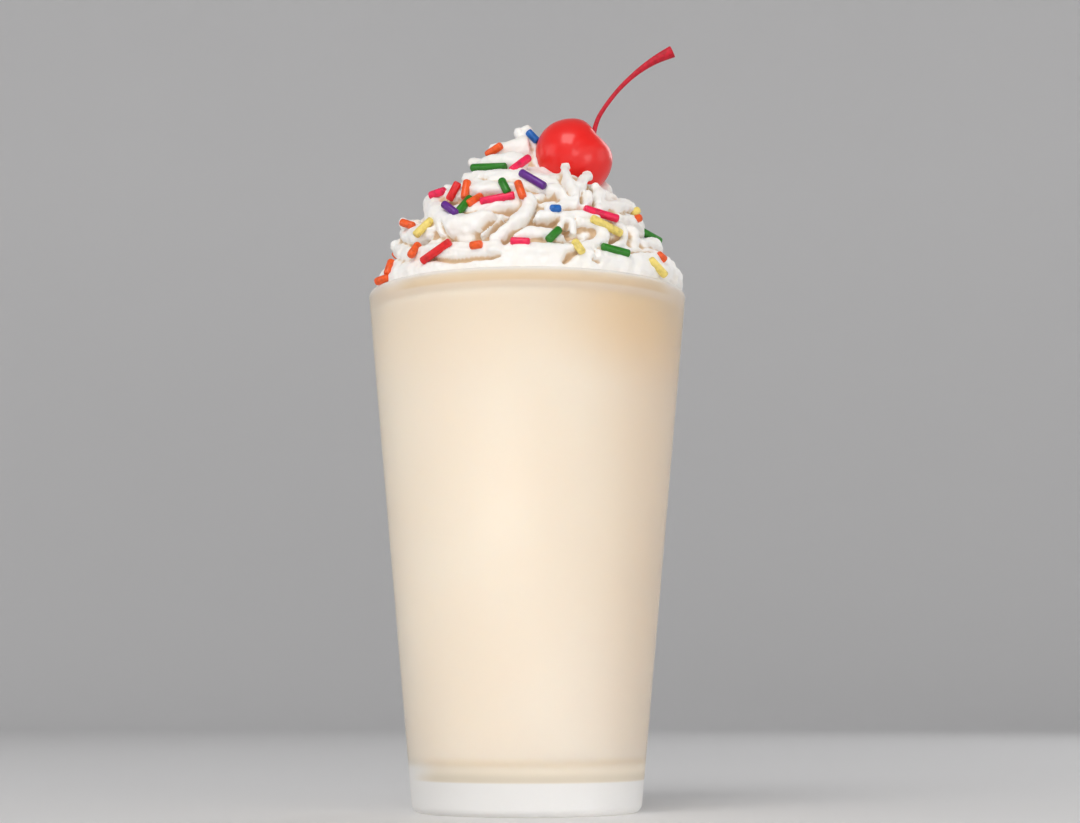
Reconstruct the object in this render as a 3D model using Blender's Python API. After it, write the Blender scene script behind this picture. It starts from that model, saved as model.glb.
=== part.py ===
"""A vanilla milkshake in a pint glass, topped with piped whipped cream, sprinkles and a cherry.

The frame has +Z up and its origin under the middle of the foot, where the glass stands.
Heights that are measured from the rim plane are called lifts. Angles round the mound are in
degrees from the front, which is at -Y, towards the right, which is at +X.
"""

import math
import random
from collections import namedtuple

import bmesh
import bpy
from mathutils import Matrix, Vector
from mathutils.bvhtree import BVHTree

MM = 0.001
GAP = 0.3 * MM
TOUCH = 1e-6
SLIVER = 0.01 * MM
ROUND_STEPS = 48
FOOT_STEPS = 4
LIP_STEPS = 6
INNER_STEPS = 5
SHARP_ANGLE = math.radians(40)

# The glass, a 16 ounce pint tumbler with a thick foot and a fire-polished lip.
RIM_RADIUS = 44.5 * MM
GLASS_HEIGHT = 144 * MM
FOOT_RADIUS = 31.4 * MM
FOOT_ROUNDING = 2.5 * MM
FOOT_RING_INNER = 24.5 * MM
FOOT_RECESS = 1.0 * MM
WALL = 2.6 * MM
LIP_ROUNDING = WALL / 2
INNER_FLOOR = 10.2 * MM
INNER_ROUNDING = 5.5 * MM

# The drink stops a little under the lip, and the cream fills the rest.
SHAKE_LEVEL = GLASS_HEIGHT - 5 * MM

# The outer shape that the piped cream is laid to, as (lift, radius) pairs in millimetres, and
# the core under the strands, which overlaps the space that is then cut for glass and drink.
MOUND = ((-6, 43), (0, 43), (5, 42), (10, 39), (15, 37), (20, 34), (25, 30), (30, 25.5),
         (35, 18), (40, 12.5), (44, 7), (48, 2), (50, 0.5))
CORE_DEPTH = 8
CORE_TOP = 36
CORE_STEP = 5
CORE_OVERLAP = 1.5 * MM
MOULD_DEPTH = 15 * MM
CREAM_VOXEL = 1.1 * MM
CREAM_TRIANGLES = 6000

# How a strand is swept: its section keeps the ribs of a star nozzle.
CURVE_STEPS = 12
STRAND_SPACING = 1.0 * MM
PLAIN_SIDES = 16
SIDES_PER_RIB = 6
RIB_ROUNDNESS = 0.85
TIP_END = 0.06
STEEP = 0.9

# The long strand that winds up the mound, in degrees, turns and millimetres.
TIER_STEPS = 60
TIER_START = 60
TIER_TURNS = 2.75
TIER_LOW = 10
TIER_HIGH = 36
TIER_WANDER = 1.3
TIER_WANDER_RATE = 2.6
TIER_THICK = 6.2
TIER_THIN = 5.6
TIER_SWELL = 0.5
TIER_SWELL_RATE = 3.7
TIER_RIBS = 8
TIER_GROOVE = 0.24
TIER_TWIST = 3
TIER_TIPS = (6, 6)
SINK_ROUND = 1.3
SINK_FRONT_RIGHT = 0.7
SINK_ANGLE = 45
SINK_LEFT = 2.2
SINK_LEFT_LOW = 18
SINK_LEFT_HIGH = 26

# Strands laid on the mound: ribs, groove depth as a share of the radius, twist in degrees per
# millimetre, the lengths of the two tapered ends, the depth of the middle line as a share of
# the radius, and rows of (angle, lift, radius) along it. Lengths are in millimetres.
Strand = namedtuple("Strand", "ribs groove twist tips depth rows")
STRANDS = {
    "rim_ring": Strand(0, 0, 0, (3, 3), 1.0, (
        (-185, 3.5, 9.5), (-120, 3.2, 9.2), (-90, 2.2, 8.8), (-70, 2, 8.6), (-40, 1.5, 8.6),
        (0, 2, 8.6), (40, 3, 9), (75, 5, 9.5), (120, 5, 9.5), (180, 4, 9.5), (185, 4, 9.5))),
    "rim_right": Strand(0, 0, 0, (6, 6), 0.84, (
        (38, 2.5, 6.5), (60, 4, 7.2), (80, 5, 7.4), (100, 4.5, 7.2), (130, 4, 6.5))),
    "front_fill": Strand(0, 0, 0, (5, 5), 1.35, (
        (-50, 20, 4), (-30, 21, 4.5), (-10, 22, 4.8), (10, 22, 5), (30, 21, 5), (48, 19, 4))),
    "front_fill_low": Strand(0, 0, 0, (5, 5), 1.35, (
        (-50, 10, 4), (-30, 10, 4.5), (-10, 12, 4.8), (10, 12.5, 5), (30, 12, 5), (50, 12, 4))),
    "cone": Strand(6, 0.08, 3, (5, 5), 1.2, (
        (-90, 33, 5.5), (-60, 33, 6), (-30, 31.5, 6.4), (0, 31, 6.4), (25, 31, 6),
        (50, 31, 5.5))),
    "bag": Strand(0, 0, 0, (5, 3), 0.85, (
        (-112, 28, 2.6), (-92, 27, 2.4), (-75, 25.5, 3), (-59, 23.5, 3.8), (-46, 18.5, 4.3),
        (-37, 15.5, 4.4), (-30, 14, 4.3), (-24, 14.5, 4), (-18, 17, 3.4), (-12, 19, 2.8), (-6, 20, 2.2))),
    "rising_ridge": Strand(0, 0, 0, (2, 2), 0.85, (
        (-15, 8.5, 1.4), (-11, 10, 1.9), (-7, 12.5, 2.3), (-3, 15, 2.4), (0, 17.5, 2.3),
        (1, 20.5, 2), (-1, 23, 1.6))),
    "lower_left": Strand(5, 0.1, 3, (5, 2), 0.9, (
        (-130, 13.5, 3), (-105, 13, 3), (-85, 12.5, 3), (-54, 7.5, 2.7), (-43, 7.5, 2.4),
        (-32, 7, 2.3), (-24, 6.5, 2.3), (-16, 6.5, 2.3), (-10, 7, 2.1), (-8, 8, 1.6))),
    "low_pad": Strand(0, 0, 0, (2, 2), 0.9, ((-16, 5, 2), (-11, 5.5, 2.6), (-8, 6.5, 2))),
    "left_lobe": Strand(5, 0.12, 4, (5, 3), 0.9, (
        (-125, 19.5, 3.2), (-105, 19, 3.3), (-86, 18.5, 3.3), (-57, 13.5, 3), (-49, 14, 2.6),
        (-42, 14, 2.2))),
    "right_base": Strand(0, 0, 0, (3, 3), 0.95, (
        (-7, 4.5, 2.8), (-1, 5, 3.4), (7, 5, 3.8), (15, 4.5, 3.8), (24, 4, 3.6),
        (34, 3.5, 3.4), (46, 3.5, 3.2), (59, 3, 3))),
    "lobe": Strand(0, 0, 0, (2, 2), 0.85, (
        (-6, 9, 1.6), (-3, 10, 2.1), (2, 10.5, 2.4), (7, 10.5, 2.4), (12, 10, 2.2),
        (15, 8.5, 1.8))),
    "curl": Strand(0, 0, 0, (1.5, 1.5), 0.9, (
        (14, 15, 1.3), (19, 14.5, 1.4), (25, 14.5, 1.6), (30, 14.5, 1.8), (33, 13, 2),
        (33, 10.5, 2), (28, 8, 1.9), (23, 7, 1.7), (19, 7, 1.3))),
    "curl_middle": Strand(0, 0, 0, (2, 2), 1.3, (
        (16, 10.5, 1.8), (22, 11, 2.2), (28, 11.5, 2))),
    "strip": Strand(0, 0, 0, (1.5, 1.5), 0.9, (
        (3, 14, 1.2), (6, 15.5, 1.6), (11, 16, 1.8), (17, 16.5, 1.9), (23, 17, 1.9),
        (29, 16, 1.9), (34, 15, 1.5))),
    "ridge_base": Strand(0, 0, 0, (3, 3), 1.15, (
        (22, 29, 3), (25, 26, 3.6), (27, 23, 3.8), (27, 20, 3.4), (25, 17, 2.6))),
    "slant": Strand(0, 0, 0, (1.5, 1.5), 0.95, (
        (17, 16, 1.4), (15, 13.5, 1.5), (13, 11, 1.4), (10, 9, 1.1))),
    "hook": Strand(0, 0, 0, (1.5, 1), 0.9, (
        (9, 24.5, 1.5), (15, 25, 2), (19, 23.5, 2.2), (20, 21, 2.2), (16, 18.5, 2),
        (12, 18, 1.6), (8, 18.5, 1.1))),
    "ridge_left": Strand(0, 0, 0, (0.8, 1.5), 0.8, (
        (33, 34, 0.9), (26, 30.5, 1.3), (25, 27, 1.5), (25, 24, 1.7), (24, 21, 1.7),
        (21, 18, 1.3))),
    "ridge_right": Strand(0, 0, 0, (0.8, 1.5), 0.8, (
        (49, 32, 1), (37, 29, 1.3), (31, 26.5, 1.6), (27, 24, 1.5))),
    "ridge_low": Strand(0, 0, 0, (1, 1), 0.9, (
        (33, 24.5, 0.9), (33, 22.5, 1.3), (29, 20.5, 1.3), (26, 18.5, 1))),
    "ridge_back": Strand(0, 0, 0, (1, 1.5), 0.9, (
        (43, 28.5, 1.3), (45, 26.5, 1.8), (41, 23.5, 1.8), (36, 20.5, 1.5))),
    "shoulder": Strand(5, 0.12, 4, (1.5, 4), 0.95, (
        (34, 19, 1.5), (41, 21, 1.9), (51, 22, 2.3), (65, 24, 2.5), (85, 24.5, 2.6),
        (110, 26.5, 2.8), (135, 27, 3))),
    "shoulder_low": Strand(5, 0.12, 4, (1.5, 4), 1.4, (
        (32, 17, 1.6), (39, 18, 2), (47, 18.5, 2.4), (72, 20, 2.6), (95, 20.5, 3),
        (120, 21, 3.2))),
    "second_curl": Strand(0, 0, 0, (1, 1), 0.9, (
        (41, 15.5, 1.2), (45, 14, 1.5), (45, 11.5, 1.5), (40, 8.5, 1.4), (34, 7, 1.1))),
    "side_right": Strand(0, 0, 0, (2, 2), 0.85, (
        (48, 14.5, 2), (52, 13.5, 2.4), (51, 10.5, 2.4), (46, 7.5, 2))),
    "side_right_low": Strand(5, 0.12, 4, (2, 4), 0.85, (
        (54, 12.5, 1.9), (58, 11, 2.2), (80, 13, 2.8), (100, 13, 3.2), (125, 12.5, 3.4))),
    "cap": Strand(0, 0, 0, (2, 2), 0.85, (
        (-65, 36, 1.8), (-47, 36.5, 2.4), (-30, 36.5, 2.8), (-15, 36.5, 2.8), (-2, 35.5, 2.4))),
    "collar": Strand(5, 0.08, 3, (2, 2), 0.9, (
        (-50, 31, 1.6), (-39, 31, 2.2), (-28, 30.5, 2.7), (-15, 30, 2.9), (-4, 29, 2.7),
        (6, 26.5, 2.5), (13, 26.5, 2))),
    "collar_low": Strand(5, 0.08, 3, (4, 2), 0.9, (
        (-110, 30, 2.4), (-75, 28, 2.2), (-43, 25, 2.4), (-38, 26.5, 2.6), (-28, 26, 2.7),
        (-17, 25.5, 2.6), (-8, 24.5, 2.4), (-1, 22.5, 2))),
}

# The peak and the points that stand free, where the nozzle was pulled away. Their rows are
# (x, y, lift, radius).
POINTS = {
    "peak": Strand(5, 0.15, 3, (4, 1.5), 0, (
        (3, 1, 32, 9), (2, 0, 37, 7.5), (0.5, 0, 41, 5), (0, 0, 44, 3.4),
        (-0.2, -0.5, 46.5, 2.2), (0, -1, 48.6, 1.2))),
    "peak_horn": Strand(0, 0, 0, (1, 1), 0, (
        (-0.5, -1, 44, 2.2), (-2, -1, 46.2, 1.4), (-2.9, -1, 47.9, 0.9))),
    "cap_top": Strand(0, 0, 0, (1.5, 2), 0, (
        (-10.4, -6, 38.3, 2.6), (-8, -5, 39.3, 3.1), (-4, -4, 40.2, 3.7), (1, -3, 41, 4.4))),
    "cap_horn": Strand(0, 0, 0, (1, 0.6), 0, (
        (-9, -6, 37, 2.6), (-13.5, -5, 37, 2), (-15.6, -4, 38.4, 1.1), (-16.3, -4, 39, 0.8))),
    "fold_horn": Strand(0, 0, 0, (1, 1), 0, (
        (-19, -14, 26, 2.2), (-21.6, -11, 27.8, 1.4), (-23.3, -9, 28.8, 0.8))),
    "far_lump": Strand(0, 0, 0, (1, 1), 0, ((17, 3, 28.5, 3), (21.6, 3, 31, 2.4))),
    "left_horn": Strand(0, 0, 0, (1, 1), 0, (
        (-30, -14, 15.5, 3), (-33.5, -11, 17.6, 1.8), (-35, -9, 19.6, 0.9))),
    "low_left_horn": Strand(0, 0, 0, (1, 1), 0, (
        (-32, -12, 10.5, 3), (-35.5, -9, 12, 2), (-37.9, -7, 13.3, 1))),
    "right_horn": Strand(0, 0, 0, (1, 1), 0, (
        (22, -12, 21.5, 2.4), (26, -10, 23.4, 1.6), (28.6, -8, 24.8, 0.9))),
    "low_right_horn": Strand(0, 0, 0, (1, 1), 0, (
        (26, -12, 15, 2.6), (30, -9, 18, 1.8), (32, -8, 19.4, 1))),
}

# The cherry, tipped to the right and sunk in the cream, and its stem, in millimetres.
CHERRY_RADIUS = 10.95 * MM
CHERRY_CENTRE = Vector((13.3, -4, 182.9)) * MM
CHERRY_TILT = math.radians(49)
CHERRY_STEPS = 14
DIMPLE_DEPTH = 1.3 * MM
DIMPLE_SPREAD = math.radians(18)
FURROW_DEPTH = 2.3 * MM
FURROW_SPREAD = math.radians(24)
FURROW_REACH = 7 * MM
CHEEK = 0.55 * MM
CHEEK_TURN = math.radians(-95)
CHEEK_SPREAD = math.radians(32)
STEM_ROUTE = ((19.5, -4, 189.4), (19.7, -4, 191.5), (20.4, -4, 194.4), (22.9, -4.2, 198.7),
              (26.6, -4.6, 203.2), (31.2, -5, 207.4), (36.2, -5.4, 210.8), (41.2, -5.8, 213.2))
STEM_RADII = (0.66, 0.66, 0.64, 0.62, 0.65, 0.8, 1.2, 1.75)
STEM_SPACING = 1.6 * MM
STEM_SIDES = 8

# Sprinkles are sugar rods. Those in front are listed as an eye sees them: where they cross the
# plane through the glass's axis (x, lift), how they are turned in it, and their seen length.
SPRINKLE_RADIUS = 1.15 * MM
SPRINKLE_SIDES = 6
SPRINKLE_POINT = 0.6 * MM
SPRINKLE_RISE = 0.6 * MM
MOST_LEAN = 0.8
LONGEST_SPRINKLE = 9.8
EYE = Vector((3.6, -621.7, 31.7)) * MM
FRONT_SPRINKLES = (
    (1.5, 46, -47, 4.1), (-9.5, 42, 34, 5.1), (-11, 37, 2, 9.7), (-2, 38, 37, 6.2),
    (1.5, 33.5, -31, 7.8), (-6.5, 31.5, -64, 4.1), (-2, 30.5, -71, 4.6), (-8.5, 28, 11, 9.5),
    (-21, 30, 63, 5.7), (-17.5, 30.5, 81, 5.1), (-15, 27.5, 31, 4.6), (-18, 26, 50, 5.7),
    (-22, 25, -38, 4.6), (-25.5, 29.5, 19, 4.6), (-34, 20.5, -18, 3.8), (-29.5, 19.5, 44, 6.5),
    (-32, 13, 55, 4.1), (-25.9, 12.6, 36, 9.4), (-14.5, 14.5, 8, 3.2),
    (-2, 15.5, -3, 5.1), (7.5, 17.5, 45, 4.6), (8, 25, 0, 2.6), (21, 23.5, -17, 9.7),
    (22.5, 20, -28, 9.2), (30.5, 24, 30, 2.6), (31, 22, 20, 2.6), (35, 17, -29, 6.5),
    (25, 13, -15, 7.8), (14.5, 14, -55, 3.8), (37, 8, -48, 6.2), (38, 11, -40, 2.7),
    (-39, 8, 72, 4.1), (-41, 4.5, 20, 3.8))

# The others are spread over the sides and the back by the golden ratio.
HIDDEN_SPRINKLES = 34
HIDDEN_START = 98
HIDDEN_SPAN = 164
HIDDEN_LOW = 7
HIDDEN_HIGH = 41
GOLDEN = (math.sqrt(5) - 1) / 2
RAY_START = 15
SEED = 7
SHORTEST_HIDDEN = 4.5
LONGEST_HIDDEN = 8.5


def glass_radius(height):
    """The outer radius of the glass's straight side."""
    return FOOT_RADIUS + (RIM_RADIUS - FOOT_RADIUS) * height / (GLASS_HEIGHT - LIP_ROUNDING)


def arc(centre, radius, start, end, steps):
    """Points (radius, height) along part of a circle, with angles in degrees."""
    angles = [math.radians(start + (end - start) * step / steps) for step in range(steps + 1)]
    return [(centre[0] + radius * math.cos(a), centre[1] + radius * math.sin(a)) for a in angles]


def clear_scene():
    for item in list(bpy.data.objects):
        bpy.data.objects.remove(item)


def finish(item, colour, roughness, transmission=0.0):
    """Gives a piece its colour and smooth shading."""
    material = bpy.data.materials.new(item.name)
    material.use_nodes = True
    shader = material.node_tree.nodes["Principled BSDF"]
    shader.inputs["Base Color"].default_value = (*colour, 1)
    shader.inputs["Roughness"].default_value = roughness
    shader.inputs["Metallic"].default_value = 0
    shader.inputs["Transmission Weight"].default_value = transmission
    item.data.materials.clear()
    item.data.materials.append(material)
    item.data.shade_smooth()
    item.data.set_sharp_from_angle(angle=SHARP_ANGLE)


def add_piece(name, shape):
    """Turns a bmesh into an object in the scene."""
    bmesh.ops.recalc_face_normals(shape, faces=shape.faces)
    mesh = bpy.data.meshes.new(name)
    shape.to_mesh(mesh)
    shape.free()
    item = bpy.data.objects.new(name, mesh)
    bpy.context.scene.collection.objects.link(item)
    return item


def turned(outline, steps=ROUND_STEPS):
    """A solid of revolution about Z from (radius, height) points that start and end on the axis."""
    shape = bmesh.new()
    points = [shape.verts.new((radius, 0, height)) for radius, height in outline]
    lines = [shape.edges.new(pair) for pair in zip(points, points[1:])]
    bmesh.ops.spin(shape, geom=points + lines, axis=(0, 0, 1), angle=math.tau, steps=steps,
                   use_merge=True)
    bmesh.ops.remove_doubles(shape, verts=shape.verts, dist=TOUCH)
    return shape


def apply_modifiers(item):
    bpy.context.view_layer.update()
    seen = item.evaluated_get(bpy.context.evaluated_depsgraph_get())
    mesh = bpy.data.meshes.new_from_object(seen)
    item.modifiers.clear()
    item.data = mesh


def combine(item, operation, others):
    """One Boolean of an object with a list of others, which are then removed."""
    group = bpy.data.collections.new("others")
    for other in others:
        group.objects.link(other)
    boolean = item.modifiers.new(operation.lower(), "BOOLEAN")
    boolean.operation = operation
    boolean.operand_type = "COLLECTION"
    boolean.collection = group
    boolean.solver = "MANIFOLD"
    apply_modifiers(item)
    for other in others:
        bpy.data.objects.remove(other)
    bpy.data.collections.remove(group)


def keep_largest_shell(item):
    """Drops loose scraps, and the walls of hollows that fusing has sealed."""
    shape = bmesh.new()
    shape.from_mesh(item.data)
    waiting = set(shape.verts)
    shells = []
    while waiting:
        front = [waiting.pop()]
        shell = list(front)
        while front:
            point = front.pop()
            near = {edge.other_vert(point) for edge in point.link_edges} & waiting
            waiting -= near
            front.extend(near)
            shell.extend(near)
        shells.append(shell)
    shells.sort(key=len)
    scraps = [point for shell in shells[:-1] for point in shell]
    bmesh.ops.delete(shape, geom=scraps, context="VERTS")
    shape.to_mesh(item.data)
    shape.free()


def drop_slivers(item):
    """Merges points that cutting left almost in one place, and the needles between them."""
    shape = bmesh.new()
    shape.from_mesh(item.data)
    bmesh.ops.remove_doubles(shape, verts=shape.verts, dist=SLIVER)
    bmesh.ops.dissolve_degenerate(shape, edges=shape.edges, dist=SLIVER)
    bmesh.ops.triangulate(shape, faces=shape.faces)
    shape.to_mesh(item.data)
    shape.free()


def inner_outline(gap):
    """The glass's inner surface, moved in by a gap, from the middle of its floor to the level."""
    corner = INNER_ROUNDING - gap
    centre = (glass_radius(INNER_FLOOR + INNER_ROUNDING) - WALL - INNER_ROUNDING,
              INNER_FLOOR + INNER_ROUNDING)
    return [(0, INNER_FLOOR + gap)] + arc(centre, corner, -90, 0, INNER_STEPS)


def make_glass():
    foot = (glass_radius(FOOT_ROUNDING) - FOOT_ROUNDING, FOOT_ROUNDING)
    lip = (RIM_RADIUS - LIP_ROUNDING, GLASS_HEIGHT - LIP_ROUNDING)
    outline = [(0, FOOT_RECESS), (FOOT_RING_INNER - FOOT_RECESS, FOOT_RECESS), (FOOT_RING_INNER, 0)]
    outline += arc(foot, FOOT_ROUNDING, -90, 0, FOOT_STEPS)
    outline += arc(lip, LIP_ROUNDING, 0, 180, LIP_STEPS)
    outline += reversed(inner_outline(0))
    glass = add_piece("glass", turned(outline))
    finish(glass, (0.95, 0.94, 0.92), 0.15, transmission=0.8)


def make_milkshake():
    side = (glass_radius(SHAKE_LEVEL) - WALL - GAP, SHAKE_LEVEL)
    outline = inner_outline(GAP) + [side, (0, SHAKE_LEVEL)]
    shake = add_piece("milkshake", turned(outline))
    finish(shake, (0.91, 0.78, 0.62), 0.35)


def mould():
    """The space that the cream keeps out of: the glass and the drink, grown by the gap."""
    lip = (RIM_RADIUS - LIP_ROUNDING, GLASS_HEIGHT - LIP_ROUNDING)
    below = SHAKE_LEVEL - MOULD_DEPTH
    outside = RIM_RADIUS + MOULD_DEPTH
    floor = SHAKE_LEVEL + GAP
    outline = [(0, below), (outside, below), (outside, lip[1])]
    outline += arc(lip, LIP_ROUNDING + GAP, 0, 180, LIP_STEPS)
    outline += [(glass_radius(floor) - WALL - GAP, floor), (0, floor)]
    return add_piece("mould", turned(outline))


def bell(distance, spread):
    return math.exp(-((distance / spread) ** 2))


def cherry_piece(name, gap):
    """A cherry about its own axis, with its dimple, furrow and cheek, then tipped into place."""
    outline = []
    for step in range(CHERRY_STEPS + 1):
        angle = math.pi * step / CHERRY_STEPS
        radius = CHERRY_RADIUS + gap - DIMPLE_DEPTH * bell(angle, DIMPLE_SPREAD)
        outline.append((radius * math.sin(angle), radius * math.cos(angle)))
    outline[0] = (0, outline[0][1])
    outline[-1] = (0, outline[-1][1])
    shape = turned(outline, 2 * CHERRY_STEPS)
    for point in shape.verts:
        turn = math.atan2(point.co.x, point.co.z)
        near = bell(point.co.y, FURROW_REACH)
        furrow = FURROW_DEPTH * bell(turn, FURROW_SPREAD) * near
        cheek = CHEEK * bell(turn - CHEEK_TURN, CHEEK_SPREAD) * near
        point.co += point.co.normalized() * (cheek - furrow)
    tip = Matrix.Rotation(CHERRY_TILT, 4, "Y")
    bmesh.ops.transform(shape, matrix=Matrix.Translation(CHERRY_CENTRE) @ tip, verts=shape.verts)
    return add_piece(name, shape)


def mound_radius(lift):
    """The radius of the mound at a lift, both in millimetres."""
    for (low, wide), (high, narrow) in zip(MOUND, MOUND[1:]):
        if lift <= high:
            share = max(0.0, (lift - low) / (high - low))
            return wide + (narrow - wide) * share
    return MOUND[-1][1]


def on_mound(angle, lift, depth):
    """A point at an angle from the front towards the right, and at a depth under the mound."""
    slope = (mound_radius(lift + 1) - mound_radius(lift - 1)) / 2
    outwards = Vector((1, -slope)).normalized()
    radius = mound_radius(lift) - depth * outwards.x
    height = GLASS_HEIGHT / MM + lift - depth * outwards.y
    turn = math.radians(angle)
    return Vector((radius * math.sin(turn), -radius * math.cos(turn), height)) * MM


def curve_through(rows):
    """Rows of numbers on a smooth curve through the given rows."""
    ends = [rows[0], *rows, rows[-1]]
    curve = []
    for before, start, stop, after in zip(ends, ends[1:], ends[2:], ends[3:]):
        for step in range(CURVE_STEPS):
            t = step / CURVE_STEPS
            curve.append([b + 0.5 * t * (c - a + t * (2 * a - 5 * b + 4 * c - d
                                                      + t * (3 * (b - c) + d - a)))
                          for a, b, c, d in zip(before, start, stop, after)])
    curve.append(list(rows[-1]))
    return curve


def spaced(places, radii, spacing):
    """The same path with points at even distances."""
    travelled = [0.0]
    for start, stop in zip(places, places[1:]):
        travelled.append(travelled[-1] + (stop - start).length)
    count = max(4, round(travelled[-1] / spacing))
    path = []
    index = 0
    for step in range(count + 1):
        along = travelled[-1] * step / count
        while index < len(places) - 2 and travelled[index + 1] < along:
            index += 1
        share = (along - travelled[index]) / (travelled[index + 1] - travelled[index])
        place = places[index].lerp(places[index + 1], share)
        path.append((along, place, radii[index] + (radii[index + 1] - radii[index]) * share))
    return path


def tip_factor(distance, tip):
    """How a strand rounds off towards its end."""
    if distance >= tip:
        return 1.0
    return max(TIP_END, math.sqrt(1 - (1 - distance / tip) ** 2))


def sweep(shape, path, section, twist=0.0, tips=(0.0, 0.0)):
    """Extrudes a closed section along a path of (distance, place, size) and caps both ends."""
    places = [place for _, place, _ in path]
    length = path[-1][0]
    ahead = [(after - before).normalized()
             for before, after in zip(places[:1] + places[:-1], places[1:] + places[-1:])]
    side = ahead[0].orthogonal().normalized()
    if abs(ahead[0].z) < STEEP:
        side = (Vector((0, 0, 1)) - ahead[0] * ahead[0].z).normalized()
    ring = bmesh.ops.create_circle(shape, segments=len(section), radius=1, cap_ends=True)["verts"]
    for point, size in zip(ring, section):
        point.co *= size
    edges = list({edge for point in ring for edge in point.link_edges})
    last = Matrix.Identity(4)
    for index, (along, place, size) in enumerate(path):
        if index:
            side = ahead[index - 1].rotation_difference(ahead[index]) @ side
            side = (side - ahead[index] * side.dot(ahead[index])).normalized()
            grown = bmesh.ops.extrude_edge_only(shape, edges=edges)["geom"]
            ring = [part for part in grown if isinstance(part, bmesh.types.BMVert)]
            edges = [part for part in grown if isinstance(part, bmesh.types.BMEdge)]
        turn = Matrix((side, ahead[index].cross(side), ahead[index])).transposed().to_4x4()
        size *= min(tip_factor(along, tips[0]), tip_factor(length - along, tips[1]))
        station = (Matrix.Translation(place) @ turn @ Matrix.Rotation(twist * along, 4, "Z")
                   @ Matrix.Scale(size, 4))
        bmesh.ops.transform(shape, matrix=station @ last.inverted(), verts=ring)
        last = station
    bmesh.ops.holes_fill(shape, edges=edges)


def star(ribs, groove):
    """The sizes round a star nozzle's section, or round a plain one with no ribs."""
    if not ribs:
        return [1.0] * PLAIN_SIDES
    steps = ribs * SIDES_PER_RIB
    return [1 - groove * (1 - abs(math.cos(math.pi * ribs * step / steps)) ** RIB_ROUNDNESS)
            for step in range(steps)]


def add_strand(shape, places, radii, strand):
    """One piped strand, in a bmesh of its own while its ends are filled."""
    piece = bmesh.new()
    twist = math.radians(strand.twist) / MM
    tips = [tip * MM for tip in strand.tips]
    sweep(piece, spaced(places, radii, STRAND_SPACING), star(strand.ribs, strand.groove), twist,
          tips)
    bmesh.ops.recalc_face_normals(piece, faces=piece.faces)
    mesh = bpy.data.meshes.new("strand")
    piece.to_mesh(mesh)
    piece.free()
    shape.from_mesh(mesh)
    bpy.data.meshes.remove(mesh)


def tier_rows():
    """The long strand that winds up the mound, uneven as a hand pipes it."""
    rows = []
    for step in range(TIER_STEPS + 1):
        share = step / TIER_STEPS
        angle = TIER_START + 360 * TIER_TURNS * share
        wander = TIER_WANDER * math.sin(math.radians(TIER_WANDER_RATE * angle))
        swell = TIER_SWELL * math.sin(math.radians(TIER_SWELL_RATE * angle))
        rows.append((angle, TIER_LOW + (TIER_HIGH - TIER_LOW) * share + wander,
                     TIER_THICK + (TIER_THIN - TIER_THICK) * share + swell))
    return rows


def tier_sink(angle, lift):
    """How far the long strand lies under the mound, in millimetres, and more high on the left."""
    rise = (lift - SINK_LEFT_LOW) / (SINK_LEFT_HIGH - SINK_LEFT_LOW)
    left = max(0.0, math.cos(math.radians(angle + 90))) * min(1.0, max(0.0, rise))
    return (SINK_ROUND + SINK_LEFT * left
            + SINK_FRONT_RIGHT * math.cos(math.radians(angle - SINK_ANGLE)))


def cream_core():
    """The filled middle, a plug in the mouth of the glass with a blunt cone on it."""
    plug = RIM_RADIUS - WALL + CORE_OVERLAP
    bottom = SHAKE_LEVEL - CORE_OVERLAP
    outline = [(0, bottom), (plug, bottom), (plug, GLASS_HEIGHT - LIP_ROUNDING / 2)]
    for lift in range(0, CORE_TOP, CORE_STEP):
        outline.append(((mound_radius(lift) - CORE_DEPTH) * MM, GLASS_HEIGHT + lift * MM))
    outline.append((0, GLASS_HEIGHT + CORE_TOP * MM))
    return turned(outline)


def piped_cream(voxel, triangles):
    """All strands and the core, fused into one body with a face count of about triangles."""
    shape = cream_core()
    tiers = Strand(TIER_RIBS, TIER_GROOVE, TIER_TWIST, TIER_TIPS, 1.0, tier_rows())
    rows = curve_through(tiers.rows)
    places = [on_mound(angle, lift, thick + tier_sink(angle, lift)) for angle, lift, thick in rows]
    add_strand(shape, places, [thick * MM for _, _, thick in rows], tiers)
    for strand in STRANDS.values():
        rows = curve_through(strand.rows)
        places = [on_mound(angle, lift, strand.depth * thick) for angle, lift, thick in rows]
        add_strand(shape, places, [thick * MM for _, _, thick in rows], strand)
    rim = Vector((0, 0, GLASS_HEIGHT))
    for strand in POINTS.values():
        rows = curve_through(strand.rows)
        places = [rim + Vector((x, y, lift)) * MM for x, y, lift, _ in rows]
        add_strand(shape, places, [thick * MM for _, _, _, thick in rows], strand)
    cream = add_piece("whipped_cream", shape)
    remesh = cream.modifiers.new("fuse", "REMESH")
    remesh.mode = "VOXEL"
    remesh.voxel_size = voxel
    apply_modifiers(cream)
    keep_largest_shell(cream)
    decimate = cream.modifiers.new("thin out", "DECIMATE")
    decimate.ratio = triangles / (2 * len(cream.data.polygons))
    apply_modifiers(cream)
    return cream


def sprinkle(place, along, length):
    """A short sugar rod with pointed ends, which will be part of the cream."""
    shape = bmesh.new()
    bmesh.ops.create_cone(shape, cap_ends=True, cap_tris=True, segments=SPRINKLE_SIDES,
                          radius1=SPRINKLE_RADIUS, radius2=SPRINKLE_RADIUS,
                          depth=length - 2 * SPRINKLE_POINT)
    for point in shape.verts:
        if math.hypot(point.co.x, point.co.y) < TOUCH:
            point.co.z += math.copysign(SPRINKLE_POINT, point.co.z)
    turn = Vector((0, 0, 1)).rotation_difference(along).to_matrix().to_4x4()
    bmesh.ops.transform(shape, matrix=Matrix.Translation(place) @ turn, verts=shape.verts)
    return add_piece("sprinkle", shape)


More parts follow.
